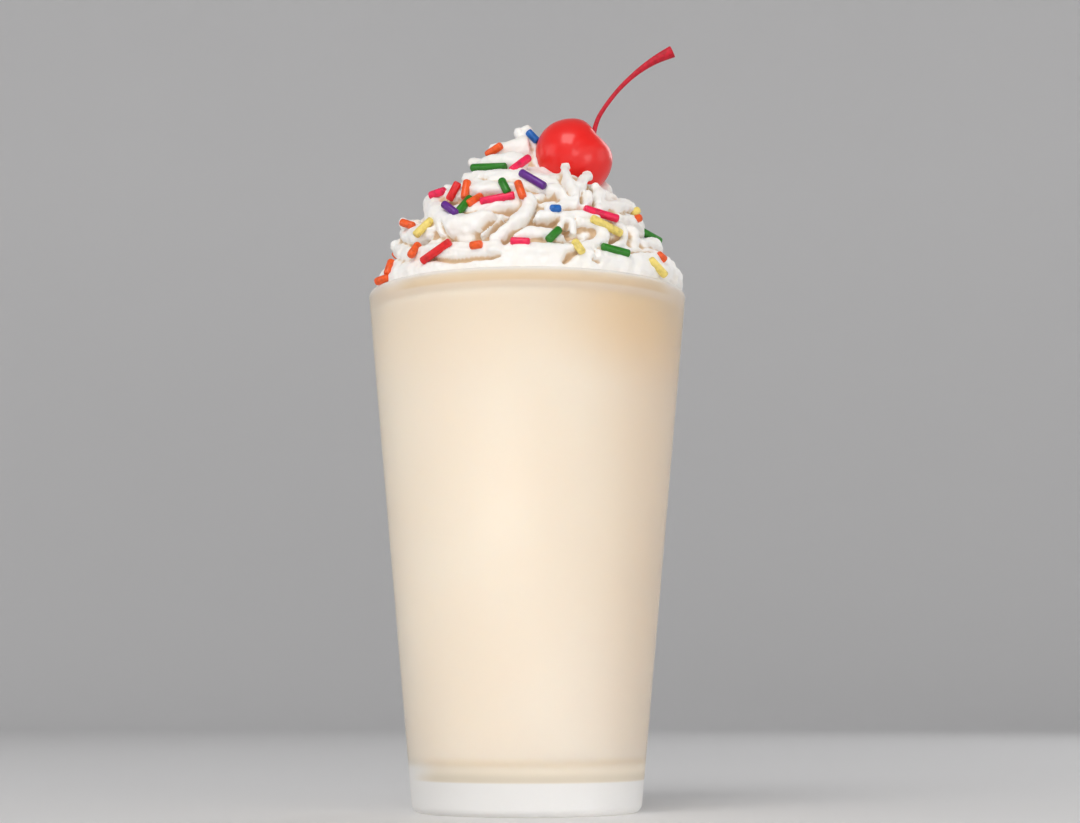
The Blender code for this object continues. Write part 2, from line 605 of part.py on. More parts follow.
def sprinkle_rods(cream):
    """The front sprinkles where they are seen, and the others over the sides and the back."""
    surface = BVHTree.FromObject(cream, bpy.context.evaluated_depsgraph_get())
    rods = []
    for x, lift, turn, length in FRONT_SPRINKLES:
        seen = Vector((x * MM, 0, GLASS_HEIGHT + lift * MM))
        sight = (seen - EYE).normalized()
        place, outwards, _, _ = surface.ray_cast(EYE, sight)
        if place is None:
            continue
        flat = Vector((math.cos(math.radians(turn)), 0, math.sin(math.radians(turn))))
        lean = -flat.dot(outwards) / sight.dot(outwards)
        along = flat + sight * max(-MOST_LEAN, min(MOST_LEAN, lean))
        length = min(LONGEST_SPRINKLE, length * along.length)
        rods.append((place + outwards * SPRINKLE_RISE, along.normalized(), length * MM))
    draw = random.Random(SEED)
    for index in range(HIDDEN_SPRINKLES):
        angle = HIDDEN_START + HIDDEN_SPAN * (index * GOLDEN % 1)
        lift = HIDDEN_LOW + (HIDDEN_HIGH - HIDDEN_LOW) * (index + 0.5) / HIDDEN_SPRINKLES
        start = on_mound(angle, lift, -RAY_START)
        place, outwards, _, _ = surface.ray_cast(start, on_mound(angle, lift, 0) - start)
        turn = draw.uniform(0, math.pi)
        length = draw.uniform(SHORTEST_HIDDEN, LONGEST_HIDDEN)
        if place is None:
            continue
        across = outwards.orthogonal().normalized()
        along = across * math.cos(turn) + outwards.cross(across) * math.sin(turn)
        rods.append((place + outwards * SPRINKLE_RISE, along, length * MM))
    clear = CHERRY_RADIUS + SPRINKLE_RADIUS
    return [sprinkle(*rod) for rod in rods if (rod[0] - CHERRY_CENTRE).length > clear]


def make_whipped_cream():
    cream = piped_cream(CREAM_VOXEL, CREAM_TRIANGLES)
    combine(cream, "UNION", sprinkle_rods(cream))
    combine(cream, "DIFFERENCE", [mould(), cherry_piece("cherry space", GAP)])
    drop_slivers(cream)
    keep_largest_shell(cream)
    finish(cream, (0.98, 0.95, 0.9), 0.45)


def make_cherry():
    finish(cherry_piece("cherry", 0), (0.72, 0.02, 0.02), 0.12)


def make_stem():
    """A thin tapered tube that widens at its cut end, just clear of the dimple's bottom."""
    rows = curve_through([(*place, radius) for place, radius in zip(STEM_ROUTE, STEM_RADII)])
    places = [Vector(row[:3]) * MM for row in rows]
    path = spaced(places, [row[3] * MM for row in rows], STEM_SPACING)
    shape = bmesh.new()
    sweep(shape, path, [1.0] * STEM_SIDES)
    finish(add_piece("cherry_stem", shape), (0.6, 0.03, 0.05), 0.35)


clear_scene()
make_glass()
make_milkshake()
make_whipped_cream()
make_cherry()
make_stem()
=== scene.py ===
"""A vanilla milkshake in a frosted pint glass, with piped whipped cream, sprinkles and a cherry.

The frame has +Z up and its origin under the middle of the foot. The photograph looks along +Y.
"""

import math
import random
from collections import namedtuple

import bmesh
import bpy
import numpy as np
from mathutils import Matrix, Vector
from mathutils.bvhtree import BVHTree
from mathutils.kdtree import KDTree


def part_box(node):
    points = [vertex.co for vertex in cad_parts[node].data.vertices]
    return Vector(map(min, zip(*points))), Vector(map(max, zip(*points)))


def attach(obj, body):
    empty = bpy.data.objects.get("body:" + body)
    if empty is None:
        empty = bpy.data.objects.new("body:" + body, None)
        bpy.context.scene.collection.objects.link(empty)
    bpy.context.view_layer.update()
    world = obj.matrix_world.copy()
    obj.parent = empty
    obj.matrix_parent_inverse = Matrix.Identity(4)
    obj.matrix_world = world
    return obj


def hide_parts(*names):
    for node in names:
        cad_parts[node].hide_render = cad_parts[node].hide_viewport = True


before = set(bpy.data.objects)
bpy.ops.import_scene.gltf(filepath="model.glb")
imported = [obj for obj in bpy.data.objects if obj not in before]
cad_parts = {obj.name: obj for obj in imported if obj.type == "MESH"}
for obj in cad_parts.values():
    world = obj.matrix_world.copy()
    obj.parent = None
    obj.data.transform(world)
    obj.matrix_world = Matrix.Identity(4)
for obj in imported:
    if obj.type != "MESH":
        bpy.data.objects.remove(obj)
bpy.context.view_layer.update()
MM = 0.001

# The glass
# A tapered pint glass of pressed soda glass with a thick foot, a recess under it and a
# fire-polished lip. Its outside is lightly frosted, so it looks milky where nothing is behind it.

ROUND_STEPS = 192
GLASS_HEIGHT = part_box("glass")[1].z
RIM_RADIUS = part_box("glass")[1].x
FOOT_RADIUS = 31.4 * MM
FOOT_ROUNDING = 2.5 * MM
FOOT_RING_INNER = 24.5 * MM
FOOT_RECESS = 1.0 * MM
WALL = 2.6 * MM
LIP_ROUNDING = WALL / 2
INNER_FLOOR = 10.2 * MM
INNER_ROUNDING = 5.5 * MM
FROST_COLOUR = (0.96, 0.95, 0.93)
FROST_SHADE = (0.93, 0.92, 0.905)
GLASS_IOR = 1.47
LAMP_TINT = (0.93, 0.92, 0.9)
# Painted shade in the wall: a painted shadow line, darker at its edge, where the shake meets the
# inner floor, and a painted shade band under the lip. Each fades in between two heights over the
# inner floor or the lip's top, or between two places across the front, all in millimetres.
FLOOR_SHADOW_COLOUR = (0.9, 0.76, 0.56)
FLOOR_LINE_SHARE = 0.6
FLOOR_LINE_UP = (6, 3)
FLOOR_EDGE_SHADOW_COLOUR = (0.77, 0.69, 0.56)
FLOOR_EDGE_SHARE = 0.9
FLOOR_EDGE_UP = (2, -0.2)
FLOOR_TONE_FOOT = (-1.5, -0.7)
FLOOR_TONE_ACROSS = (-32, -22)
LIP_SHADE_COLOUR = (0.84, 0.76, 0.63)
LIP_TONE_SHARE = 0.9
LIP_TONE_FOOT = (-4.2, -3.3)
LIP_TONE_TOP = (-0.4, -1.4)
LIP_TONE_LEFT = (-37, -30)
LIP_TONE_RIGHT = (40, 35)
# How milky the wall looks, and how much more so in the thick foot and in the lip.
MILKY_WALL = 0.05
MILKY_FOOT = 0.62
MILKY_FOOT_UP = (4.8, 1.5)
MILKY_LIP = 0.45
MILKY_LIP_UP = (-2.4, -0.8)


class Wire:
    """A socket of a material's node tree. Sums and products of wires add Math nodes."""

    def __init__(self, tree, socket):
        self.tree = tree
        self.socket = socket

    def node(self, kind, settings, sockets, output=0):
        """Adds a node: its settings first, then the values or links of its sockets."""
        made = self.tree.nodes.new(kind)
        for name, value in settings.items():
            setattr(made, name, value)
        for name, value in sockets.items():
            if isinstance(value, Wire):
                self.tree.links.new(value.socket, made.inputs[name])
            elif isinstance(value, tuple) and len(made.inputs[name].default_value) == 4:
                made.inputs[name].default_value = (*value, 1)
            else:
                made.inputs[name].default_value = value
        return Wire(self.tree, made.outputs[output]) if made.outputs else None

    def maths(self, operation, first, second):
        return self.node("ShaderNodeMath", {"operation": operation}, {0: first, 1: second})

    def __add__(self, other):
        return self.maths("ADD", self, other)

    def __mul__(self, other):
        return self.maths("MULTIPLY", self, other)

    __radd__ = __add__
    __rmul__ = __mul__

    def between(self, low, high):
        """A smooth step from 0 at low to 1 at high."""
        return self.node("ShaderNodeMapRange", {"interpolation_type": "SMOOTHSTEP"},
                         {"Value": self, "From Min": low, "From Max": high})

    def step_over(self, base, places):
        """The same step between two places over a base, which are in millimetres."""
        return self.between(base + places[0] * MM, base + places[1] * MM)

    def mix(self, first, second):
        """The first colour where this wire is 0, and the second where it is 1."""
        return self.node("ShaderNodeMix", {"data_type": "RGBA"},
                         {"Factor": self, 6: first, 7: second}, output=2)

    def noise(self, scale, detail):
        """Soft noise at this place, with scale in features per metre."""
        return self.node("ShaderNodeTexNoise", {}, {"Vector": self, "Scale": scale,
                                                    "Detail": detail})

    def axis(self, name):
        return self.node("ShaderNodeSeparateXYZ", {}, {"Vector": self}, output=name)

    def bump(self, height, distance, strength):
        """A Normal from this height, where distance is the height of a full step in metres."""
        return self.node("ShaderNodeBump", {}, {"Height": height, "Distance": distance,
                                                "Strength": strength})


def new_material(name):
    """An empty material, and a wire with the place in the frame that it colours."""
    material = bpy.data.materials.new(name)
    material.use_nodes = True
    tree = material.node_tree
    tree.nodes.clear()
    coordinates = tree.nodes.new("ShaderNodeTexCoord")
    return material, Wire(tree, coordinates.outputs["Object"])


def shade(place, **sockets):
    """A Principled shader with these sockets, named as Blender does but with underscores."""
    named = {name.replace("_", " "): value for name, value in sockets.items()}
    return place.node("ShaderNodeBsdfPrincipled", {}, named)


def show(place, shader):
    place.node("ShaderNodeOutputMaterial", {}, {"Surface": shader})


def bare_piece(name, shape):
    """Makes an object of a bmesh, in place."""
    mesh = bpy.data.meshes.new(name)
    shape.to_mesh(mesh)
    shape.free()
    piece = bpy.data.objects.new(name, mesh)
    bpy.context.scene.collection.objects.link(piece)
    return piece


def dress(piece, replaced, material):
    """Gives a finished piece its material and its row in the table."""
    piece.data.materials.clear()
    piece.data.materials.append(material)
    piece.data.shade_smooth()
    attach(piece, "root")
    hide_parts(replaced)


def arc(centre, radius, start, end, steps):
    """Points (radius, height) along part of a circle, with angles in degrees."""
    angles = [math.radians(start + (end - start) * step / steps) for step in range(steps + 1)]
    return [(centre[0] + radius * math.cos(a), centre[1] + radius * math.sin(a)) for a in angles]


def spun(outline, steps):
    """Spins (radius, height) points once round the axis."""
    shape = bmesh.new()
    points = [shape.verts.new((radius, 0, height)) for radius, height in outline]
    lines = [shape.edges.new(pair) for pair in zip(points, points[1:])]
    bmesh.ops.spin(shape, geom=points + lines, axis=(0, 0, 1), angle=math.tau, steps=steps,
                   use_merge=True)
    bmesh.ops.remove_doubles(shape, verts=shape.verts, dist=0.001 * MM)
    return shape


def turned(outline, steps):
    """A closed solid of (radius, height) points that start and end on the axis."""
    shape = spun(outline, steps)
    bmesh.ops.recalc_face_normals(shape, faces=shape.faces)
    return shape


def glass_radius(height):
    return FOOT_RADIUS + (RIM_RADIUS - FOOT_RADIUS) * height / (GLASS_HEIGHT - LIP_ROUNDING)


def inner_outline(reach, steps):
    """The inner floor and its corner, moved into the glass by a reach, from the middle out."""
    centre = (glass_radius(INNER_FLOOR + INNER_ROUNDING) - WALL - INNER_ROUNDING,
              INNER_FLOOR + INNER_ROUNDING)
    return [(0, INNER_FLOOR - reach)] + arc(centre, INNER_ROUNDING + reach, -90, 0, steps)


glass_material, place = new_material("frosted glass")
cloud = place.noise(45, 3)
frost = place.noise(2600, 1)
height = place.axis("Z")
across = place.axis("X")
tint = place.noise(30, 2).mix(FROST_COLOUR, FROST_SHADE)
# Painted shadow line along the shake's floor edge, tan with a darker edge.
floor_shadow = height.step_over(INNER_FLOOR, FLOOR_TONE_FOOT)
floor_shadow = floor_shadow * across.step_over(0, FLOOR_TONE_ACROSS)
floor_shadow_line = FLOOR_LINE_SHARE * height.step_over(INNER_FLOOR, FLOOR_LINE_UP) * floor_shadow
tint = floor_shadow_line.mix(tint, FLOOR_SHADOW_COLOUR)
floor_edge_shadow = FLOOR_EDGE_SHARE * height.step_over(INNER_FLOOR, FLOOR_EDGE_UP) * floor_shadow
tint = floor_edge_shadow.mix(tint, FLOOR_EDGE_SHADOW_COLOUR)
# Painted shade band under the lip, where the cream in the glass lies in shade.
lip_shade = height.step_over(GLASS_HEIGHT, LIP_TONE_FOOT)
lip_shade = lip_shade * height.step_over(GLASS_HEIGHT, LIP_TONE_TOP)
lip_shade = lip_shade * across.step_over(0, LIP_TONE_LEFT)
lip_shade = lip_shade * across.step_over(0, LIP_TONE_RIGHT)
tint = (LIP_TONE_SHARE * lip_shade).mix(tint, LIP_SHADE_COLOUR)
grain = place.bump(frost, 0.02 * MM, 0.25)
thin_glass = shade(place, Base_Color=tint, Roughness=0.6 + 0.1 * cloud, IOR=GLASS_IOR,
                   Transmission_Weight=0.68, Specular_IOR_Level=0.5, Normal=grain)
thick_glass = shade(place, Base_Color=tint, Roughness=0.5 + 0.1 * cloud, IOR=GLASS_IOR,
                    Subsurface_Weight=0.5, Subsurface_Radius=(1.0, 0.97, 0.93),
                    Subsurface_Scale=4 * MM, Normal=grain)
milky = MILKY_WALL + MILKY_FOOT * height.step_over(INNER_FLOOR, MILKY_FOOT_UP)
milky = milky + MILKY_LIP * height.step_over(GLASS_HEIGHT, MILKY_LIP_UP)
body = place.node("ShaderNodeMixShader", {}, {0: milky, 1: thin_glass, 2: thick_glass})
lets_lamps = place.node("ShaderNodeBsdfTransparent", {}, {"Color": LAMP_TINT})
lamp_ray = place.node("ShaderNodeLightPath", {}, {}, output="Is Shadow Ray")
show(place, place.node("ShaderNodeMixShader", {}, {0: lamp_ray, 1: body, 2: lets_lamps}))

foot_centre = (glass_radius(FOOT_ROUNDING) - FOOT_ROUNDING, FOOT_ROUNDING)
lip_centre = (RIM_RADIUS - LIP_ROUNDING, GLASS_HEIGHT - LIP_ROUNDING)
glass_outline = [(0, FOOT_RECESS), (FOOT_RING_INNER - FOOT_RECESS, FOOT_RECESS)]
glass_outline += arc((FOOT_RING_INNER, FOOT_RECESS), FOOT_RECESS, 180, 270, 5)
glass_outline += arc(foot_centre, FOOT_ROUNDING, -90, 0, 8)
glass_outline += arc(lip_centre, LIP_ROUNDING, 0, 180, 12)
glass_outline += reversed(inner_outline(0, 10))
glass = bare_piece("pint_glass", turned(glass_outline, ROUND_STEPS))
dress(glass, "glass", glass_material)

# The milkshake
# Thick vanilla milk and ice cream, blended smooth. It fills the glass from its inner floor to a
# little under the lip, and reaches just into the wall so that no air shows between them.

SHAKE_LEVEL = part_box("milkshake")[1].z
SHAKE_REACH = 0.12 * MM
SHAKE_COLOUR = (0.76, 0.64, 0.48)
SHAKE_FROTH = (0.78, 0.685, 0.54)
# Painted shade: the shake is darker and warmer towards the right, more so higher up, and darker
# and more orange near the top under the cream, most at the right. Painted light makes it paler at
# its foot, where the glass's inner corner lies in shade. It is also paler in a band just under its
# level. Each tone fades in between two places across the front or two heights, in millimetres.
SHAKE_WARM_SHADE = (0.7, 0.475, 0.22)
WARM_ACROSS = (12, 38)
WARM_UP = (105, 138)
WARM_BELOW = 0.65
WARM_MORE = 0.35
SHAKE_DEEP_SHADE = (0.72, 0.43, 0.05)
DEEP_ACROSS = (2, 34)
DEEP_UP = (112, 134)
DEEP_LEFT = 0.2
DEEP_MORE = 0.75
SHAKE_FOOT_LIGHT = (0.86, 0.735, 0.56)
FOOT_UP = (7, -1)
SHAKE_LINE = (0.87, 0.78, 0.62)
LINE_UP = (-3, -1.2)
LINE_ACROSS = (10, -20)
LINE_SHARE = 0.5

shake_material, place = new_material("vanilla shake")
height = place.axis("Z")
across = place.axis("X")
swirl = place.noise(28, 4).between(0.35, 0.7)
body_colour = swirl.mix(SHAKE_COLOUR, SHAKE_FROTH)
# Painted shade, darker and warmer towards the right.
warm_shade = across.step_over(0, WARM_ACROSS)
warm_shade = warm_shade * (WARM_BELOW + WARM_MORE * height.step_over(0, WARM_UP))
body_colour = warm_shade.mix(body_colour, SHAKE_WARM_SHADE)
# Painted shade, darker and more orange near the top under the cream, most at the right.
deep_shade = DEEP_LEFT + DEEP_MORE * across.step_over(0, DEEP_ACROSS)
deep_shade = deep_shade * height.step_over(0, DEEP_UP)
body_colour = deep_shade.mix(body_colour, SHAKE_DEEP_SHADE)
# Painted light, paler near the inner floor, against the shade in the glass's inner corner.
body_colour = height.step_over(INNER_FLOOR, FOOT_UP).mix(body_colour, SHAKE_FOOT_LIGHT)
line = height.step_over(SHAKE_LEVEL, LINE_UP) * across.step_over(0, LINE_ACROSS)
body_colour = (LINE_SHARE * line).mix(body_colour, SHAKE_LINE)
show(place, shade(place, Base_Color=body_colour, Roughness=0.38, Subsurface_Weight=0.25,
                  Subsurface_Radius=(1.0, 0.75, 0.5), Subsurface_Scale=2.0 * MM,
                  Normal=place.bump(place.noise(900, 2), 0.05 * MM, 0.3)))

shake_side = (glass_radius(SHAKE_LEVEL) - WALL + SHAKE_REACH, SHAKE_LEVEL)
shake_outline = inner_outline(SHAKE_REACH, 10) + [shake_side, (0, SHAKE_LEVEL)]
shake = bare_piece("vanilla_shake", turned(shake_outline, ROUND_STEPS))
dress(shake, "milkshake", shake_material)

# The whipped cream
# Cream from a star nozzle, piped as a ring on the rim and then round and round to a peak.
# Each strand is swept with the nozzle's ribs, and then all are fused with a core.

CREAM_REACH = 0.2 * MM
CREAM_VOXEL = 0.5 * MM
MOST_CREAM_TRIANGLES = 190_000
# The outer shape that the strands are laid to, as (height over the rim, radius) in millimetres.
MOUND = ((-6, 43), (0, 43), (5, 42), (10, 39), (15, 37), (20, 34), (25, 30), (30, 25.5),
         (35, 18), (40, 12.5), (44, 7), (48, 2), (50, 0.5))
CORE_DEPTH = 8
CORE_TOP = 36
CORE_STEPS = 96
PLUG_SPARE = 1.5 * MM
MOULD_SPARE = 10 * MM
# The winding strand: its angles in degrees, and its heights and radii in millimetres.
TIER_STEPS = 60
TIER_START = 60
TIER_TURN = 990
TIER_LOW = 10
TIER_RISE = 26
TIER_RADIUS = 6.2
TIER_THINNING = 0.6
WANDER = 1.3
WANDER_RATE = 2.6
SWELL = 0.5
SWELL_RATE = 3.7
SINK_ROUND = 1.3
SINK_FRONT_RIGHT = 0.7
SINK_ANGLE = 45
SINK_LEFT = 2.2
SINK_LEFT_LOW = 18
SINK_LEFT_HIGH = 26
LUMPS = (6 * MM, 1.4 * MM)
GRAINS = (2 * MM, 0.2 * MM)
CURVE_STEPS = 12
STRAND_SPACING = 0.7 * MM
PLAIN_SIDES = 24
SIDES_PER_RIB = 8
RIB_ROUNDNESS = 0.85
TIP_END = 0.06
CREAM_COLOUR = (0.98, 0.965, 0.94)
CREAM_SHADE = (0.97, 0.935, 0.885)
# Painted shade under the lip, where the cream lies inside the glass.
CREAM_RIM_SHADE = (0.84, 0.66, 0.43)
# Painted shade in the creases.
CREASE_SHADE_COLOUR = (0.72, 0.52, 0.33)
RIM_SHADE_UP = (0.5, -2.5)

# A strand has ribs, the depth of its grooves as a share of its radius, a twist in degrees per
# millimetre, the lengths of its tapered ends, the depth of its middle line as a share of its
# radius, and rows of (angle from the front towards the right, height over the rim, radius).
Strand = namedtuple("Strand", "ribs groove twist tips depth rows")
STRANDS = {
    "rim_ring": Strand(0, 0, 0, (3, 3), 1.0, (
        (-185, 3.5, 9.5), (-120, 3.2, 9.2), (-90, 2.2, 8.8), (-70, 2, 8.6), (-40, 1.5, 8.6),
        (0, 2, 8.6), (40, 3, 9), (75, 5, 9.5), (120, 5, 9.5), (180, 4, 9.5), (185, 4, 9.5))),
    "rim_right": Strand(0, 0, 0, (6, 6), 0.84, (
        (38, 2.5, 6.5), (60, 4, 7.2), (80, 5, 7.4), (100, 4.5, 7.2), (130, 4, 6.5))),
    "front_fill": Strand(0, 0, 0, (5, 5), 1.35, (
        (-50, 20, 4), (-30, 21, 4.5), (-10, 22, 4.8), (10, 22, 5), (30, 21, 5), (48, 19, 4))),
    "front_fill_low": Strand(0, 0, 0, (5, 5), 1.35, (
        (-50, 10, 4), (-30, 10, 4.5), (-10, 12, 4.8), (10, 12.5, 5), (30, 12, 5), (50, 12, 4))),
    "cone": Strand(6, 0.08, 3, (5, 5), 1.2, (
        (-62, 32, 4), (-45, 32, 5.6), (-30, 31.5, 6.4), (0, 31, 6.4), (25, 31, 6),
        (50, 31, 5.5))),
    "cone_front": Strand(0, 0, 0, (4, 4), 1.0, (
        (-42, 31.5, 4.5), (-27, 30, 6.2), (-12, 29.5, 6.8), (2, 28.5, 6.2), (12, 28, 4.5))),
    "bag": Strand(0, 0, 0, (5, 3), 0.85, (
        (-86, 27.5, 1.8), (-73, 26, 2.6), (-59, 23.5, 3.8), (-46, 18.5, 4.3),
        (-37, 15.5, 4.4), (-30, 14, 4.3), (-24, 14, 4), (-18, 15.2, 3.2), (-13, 16, 2.2))),
    "inner_ridge": Strand(0, 0, 0, (1, 1), 1.0, (
        (-19, 10, 1), (-16, 12, 1.2), (-13, 14, 1.2), (-10, 15.5, 0.9))),
    "rising_ridge": Strand(0, 0, 0, (2, 2), 0.85, (
        (-15, 8.5, 1.4), (-11, 10, 1.9), (-7, 12.5, 2.3), (-3, 15, 2.4), (0, 17.5, 2.3),
        (1, 20.5, 2), (-1, 23, 1.6))),
    "lower_left": Strand(5, 0.1, 3, (5, 2), 0.9, (
        (-130, 15, 2.6), (-105, 14.8, 2.6), (-85, 14, 2.6), (-54, 7.5, 2.7), (-43, 7.5, 2.4),
        (-32, 7, 2.3), (-24, 6.5, 2.3), (-16, 6.5, 2.3), (-10, 7, 2.1), (-8, 8, 1.6))),
    "low_pad": Strand(0, 0, 0, (2, 2), 0.9, ((-16, 5, 2), (-11, 5.5, 2.6), (-8, 6.5, 2))),
    "left_lobe": Strand(5, 0.12, 4, (5, 3), 0.9, (
        (-125, 19.5, 3.2), (-105, 19, 3.3), (-86, 18.5, 3.3), (-57, 13.5, 3), (-49, 14, 2.6),
        (-42, 14, 2.2))),
    "right_base": Strand(0, 0, 0, (3, 3), 0.95, (
        (-7, 4.5, 2.8), (-1, 5, 3.4), (7, 5, 3.8), (15, 4.5, 3.8), (24, 4, 3.6),
        (34, 3.5, 3.4), (46, 3.5, 3.2), (59, 3, 3))),
    "lobe": Strand(0, 0, 0, (2, 2), 0.85, (
        (-6, 9, 1.6), (-3, 10, 2.1), (2, 10.5, 2.4), (7, 10.5, 2.4), (12, 10, 2.2),
        (15, 8.5, 1.8))),
    "curl": Strand(0, 0, 0, (1.5, 1.5), 0.9, (
        (14, 15, 1.3), (19, 14.5, 1.4), (25, 14.5, 1.6), (30, 14.5, 1.8), (33, 13, 2),
        (33, 10.5, 2), (28, 8, 1.9), (23, 7, 1.7), (19, 7, 1.3))),
    "curl_middle": Strand(0, 0, 0, (2, 2), 1.8, (
        (16, 10.5, 1.8), (22, 11, 2.2), (28, 11.5, 2))),
    "strip": Strand(0, 0, 0, (1.5, 1.5), 0.9, (
        (3, 14, 1.2), (6, 15.5, 1.6), (11, 16, 1.8), (17, 16.5, 1.9), (23, 17, 1.9),
        (29, 16, 1.9), (34, 15, 1.5))),
    "ridge_base": Strand(0, 0, 0, (3, 3), 1.15, (
        (22, 29, 3), (25, 26, 3.6), (27, 23, 3.8), (27, 20, 3.4), (25, 17, 2.6))),
    "slant": Strand(0, 0, 0, (1.5, 1.5), 0.95, (
        (17, 16, 1.4), (15, 13.5, 1.5), (13, 11, 1.4), (10, 9, 1.1))),
    "post": Strand(0, 0, 0, (1, 1), 0.9, ((20, 15, 1.1), (19, 12.5, 1.3), (19, 10, 1.1))),
    "hook": Strand(0, 0, 0, (1.5, 1), 0.9, (
        (9, 24.5, 1.5), (15, 25, 2), (19, 23.5, 2.2), (20, 21, 2.2), (16, 18.5, 2),
        (12, 18, 1.6), (8, 18.5, 1.1))),
    "ridge_left": Strand(0, 0, 0, (0.8, 1.5), 0.8, (
        (33, 34, 0.9), (26, 30.5, 1.3), (25, 27, 1.5), (25, 24, 1.7), (24, 21, 1.7),
        (21, 18, 1.3))),
    "ridge_right": Strand(0, 0, 0, (0.8, 1.5), 0.8, (
        (49, 32, 1), (37, 29, 1.3), (31, 26.5, 1.6), (27, 24, 1.5))),
    "ridge_low": Strand(0, 0, 0, (1, 1), 0.9, (
        (33, 24.5, 0.9), (33, 22.5, 1.3), (29, 20.5, 1.3), (26, 18.5, 1))),
    "ridge_back": Strand(0, 0, 0, (1, 1.5), 0.9, (
        (43, 28.5, 1.3), (45, 26.5, 1.8), (41, 23.5, 1.8), (36, 20.5, 1.5))),
    "shoulder": Strand(5, 0.12, 4, (1.5, 4), 0.95, (
        (34, 19, 1.5), (41, 21, 1.9), (51, 22, 2.3), (65, 24, 2.5), (85, 24.5, 2.6),
        (110, 26.5, 2.8), (135, 27, 3))),
    "shoulder_low": Strand(5, 0.12, 4, (1.5, 4), 1.4, (
        (32, 17, 1.6), (39, 18, 2), (47, 18.5, 2.4), (72, 20, 2.6), (95, 20.5, 3),
        (120, 21, 3.2))),
    "second_curl": Strand(0, 0, 0, (1, 1), 0.9, (
        (41, 15.5, 1.2), (45, 14, 1.5), (45, 11.5, 1.5), (40, 8.5, 1.4), (34, 7, 1.1))),
    "side_right": Strand(0, 0, 0, (2, 2), 0.85, (
        (48, 14.5, 2), (52, 13.5, 2.4), (51, 10.5, 2.4), (46, 7.5, 2))),
    "side_right_low": Strand(5, 0.12, 4, (2, 4), 0.85, (
        (54, 12.5, 1.9), (58, 11, 2.2), (80, 13, 2.8), (100, 13, 3.2), (125, 12.5, 3.4))),
    "cap": Strand(0, 0, 0, (2, 2), 0.85, (
        (-65, 36, 1.8), (-47, 36.5, 2.4), (-30, 36.5, 2.8), (-15, 36.5, 2.8), (-2, 35.5, 2.4))),
    "collar": Strand(5, 0.08, 3, (2, 2), 0.9, (
        (-50, 31, 1.6), (-39, 31, 2.2), (-28, 30.5, 2.7), (-15, 30, 2.9), (-4, 29, 2.7),
        (6, 26.5, 2.5), (13, 26.5, 2))),
    "collar_low": Strand(5, 0.08, 3, (4, 2), 0.9, (
        (-110, 30, 2.4), (-75, 28, 2.2), (-43, 25, 2.4), (-38, 26.5, 2.6), (-28, 26, 2.7),
        (-17, 25.5, 2.6), (-8, 24.5, 2.4), (-1, 22.5, 2))),
}

# The peak and the points left where the nozzle was pulled away, as rows of (x, y, height over
# the rim, radius).
POINTS = {
    "peak": Strand(5, 0.15, 3, (4, 1.5), 0, (
        (3, 1, 32, 9), (2, 0, 37, 7.5), (0.5, 0, 41, 5), (0, 0, 44, 3.4),
        (-0.2, -0.5, 46.5, 2.2), (0, -1, 48.6, 1.2))),
    "peak_horn": Strand(0, 0, 0, (1, 1), 0, (
        (-0.5, -1, 44, 2.2), (-2, -1, 46.2, 1.4), (-2.9, -1, 47.9, 0.9))),
    "cap_top": Strand(0, 0, 0, (1.5, 2), 0, (
        (-10.4, -6, 38.3, 2.6), (-8, -5, 39.3, 3.1), (-4, -4, 40.2, 3.7), (1, -3, 41, 4.4))),
    "cap_horn": Strand(0, 0, 0, (1, 0.6), 0, (
        (-9, -6, 36.5, 2.4), (-13.2, -5, 36.2, 1.8), (-15.4, -4, 37.6, 1.1),
        (-16.2, -4, 38.4, 0.8))),
    "fold_horn": Strand(0, 0, 0, (1, 1), 0, (
        (-19, -14, 26, 2.2), (-21.6, -11, 27.8, 1.4), (-23.3, -9, 28.8, 0.8))),
    "far_lump": Strand(0, 0, 0, (1, 1), 0, ((17, 3, 28.5, 3), (23.8, 3, 31.8, 2.4))),
    "left_horn": Strand(0, 0, 0, (1, 1), 0, (
        (-30, -14, 15.5, 3), (-33.5, -11, 17.6, 1.8), (-35, -9, 19.6, 0.9))),
    "low_left_horn": Strand(0, 0, 0, (1, 1), 0, (
        (-32, -12, 10.5, 3), (-35.5, -9, 12, 2), (-37.9, -7, 13.3, 1))),
    "right_horn": Strand(0, 0, 0, (1, 1), 0, (
        (22, -12, 21.5, 2.4), (26, -10, 23.4, 1.6), (28.6, -8, 24.8, 0.9))),
    "low_right_horn": Strand(0, 0, 0, (1, 1), 0, (
        (26, -12, 15, 2.6), (30, -9, 18, 1.8), (32, -8, 19.4, 1))),
}

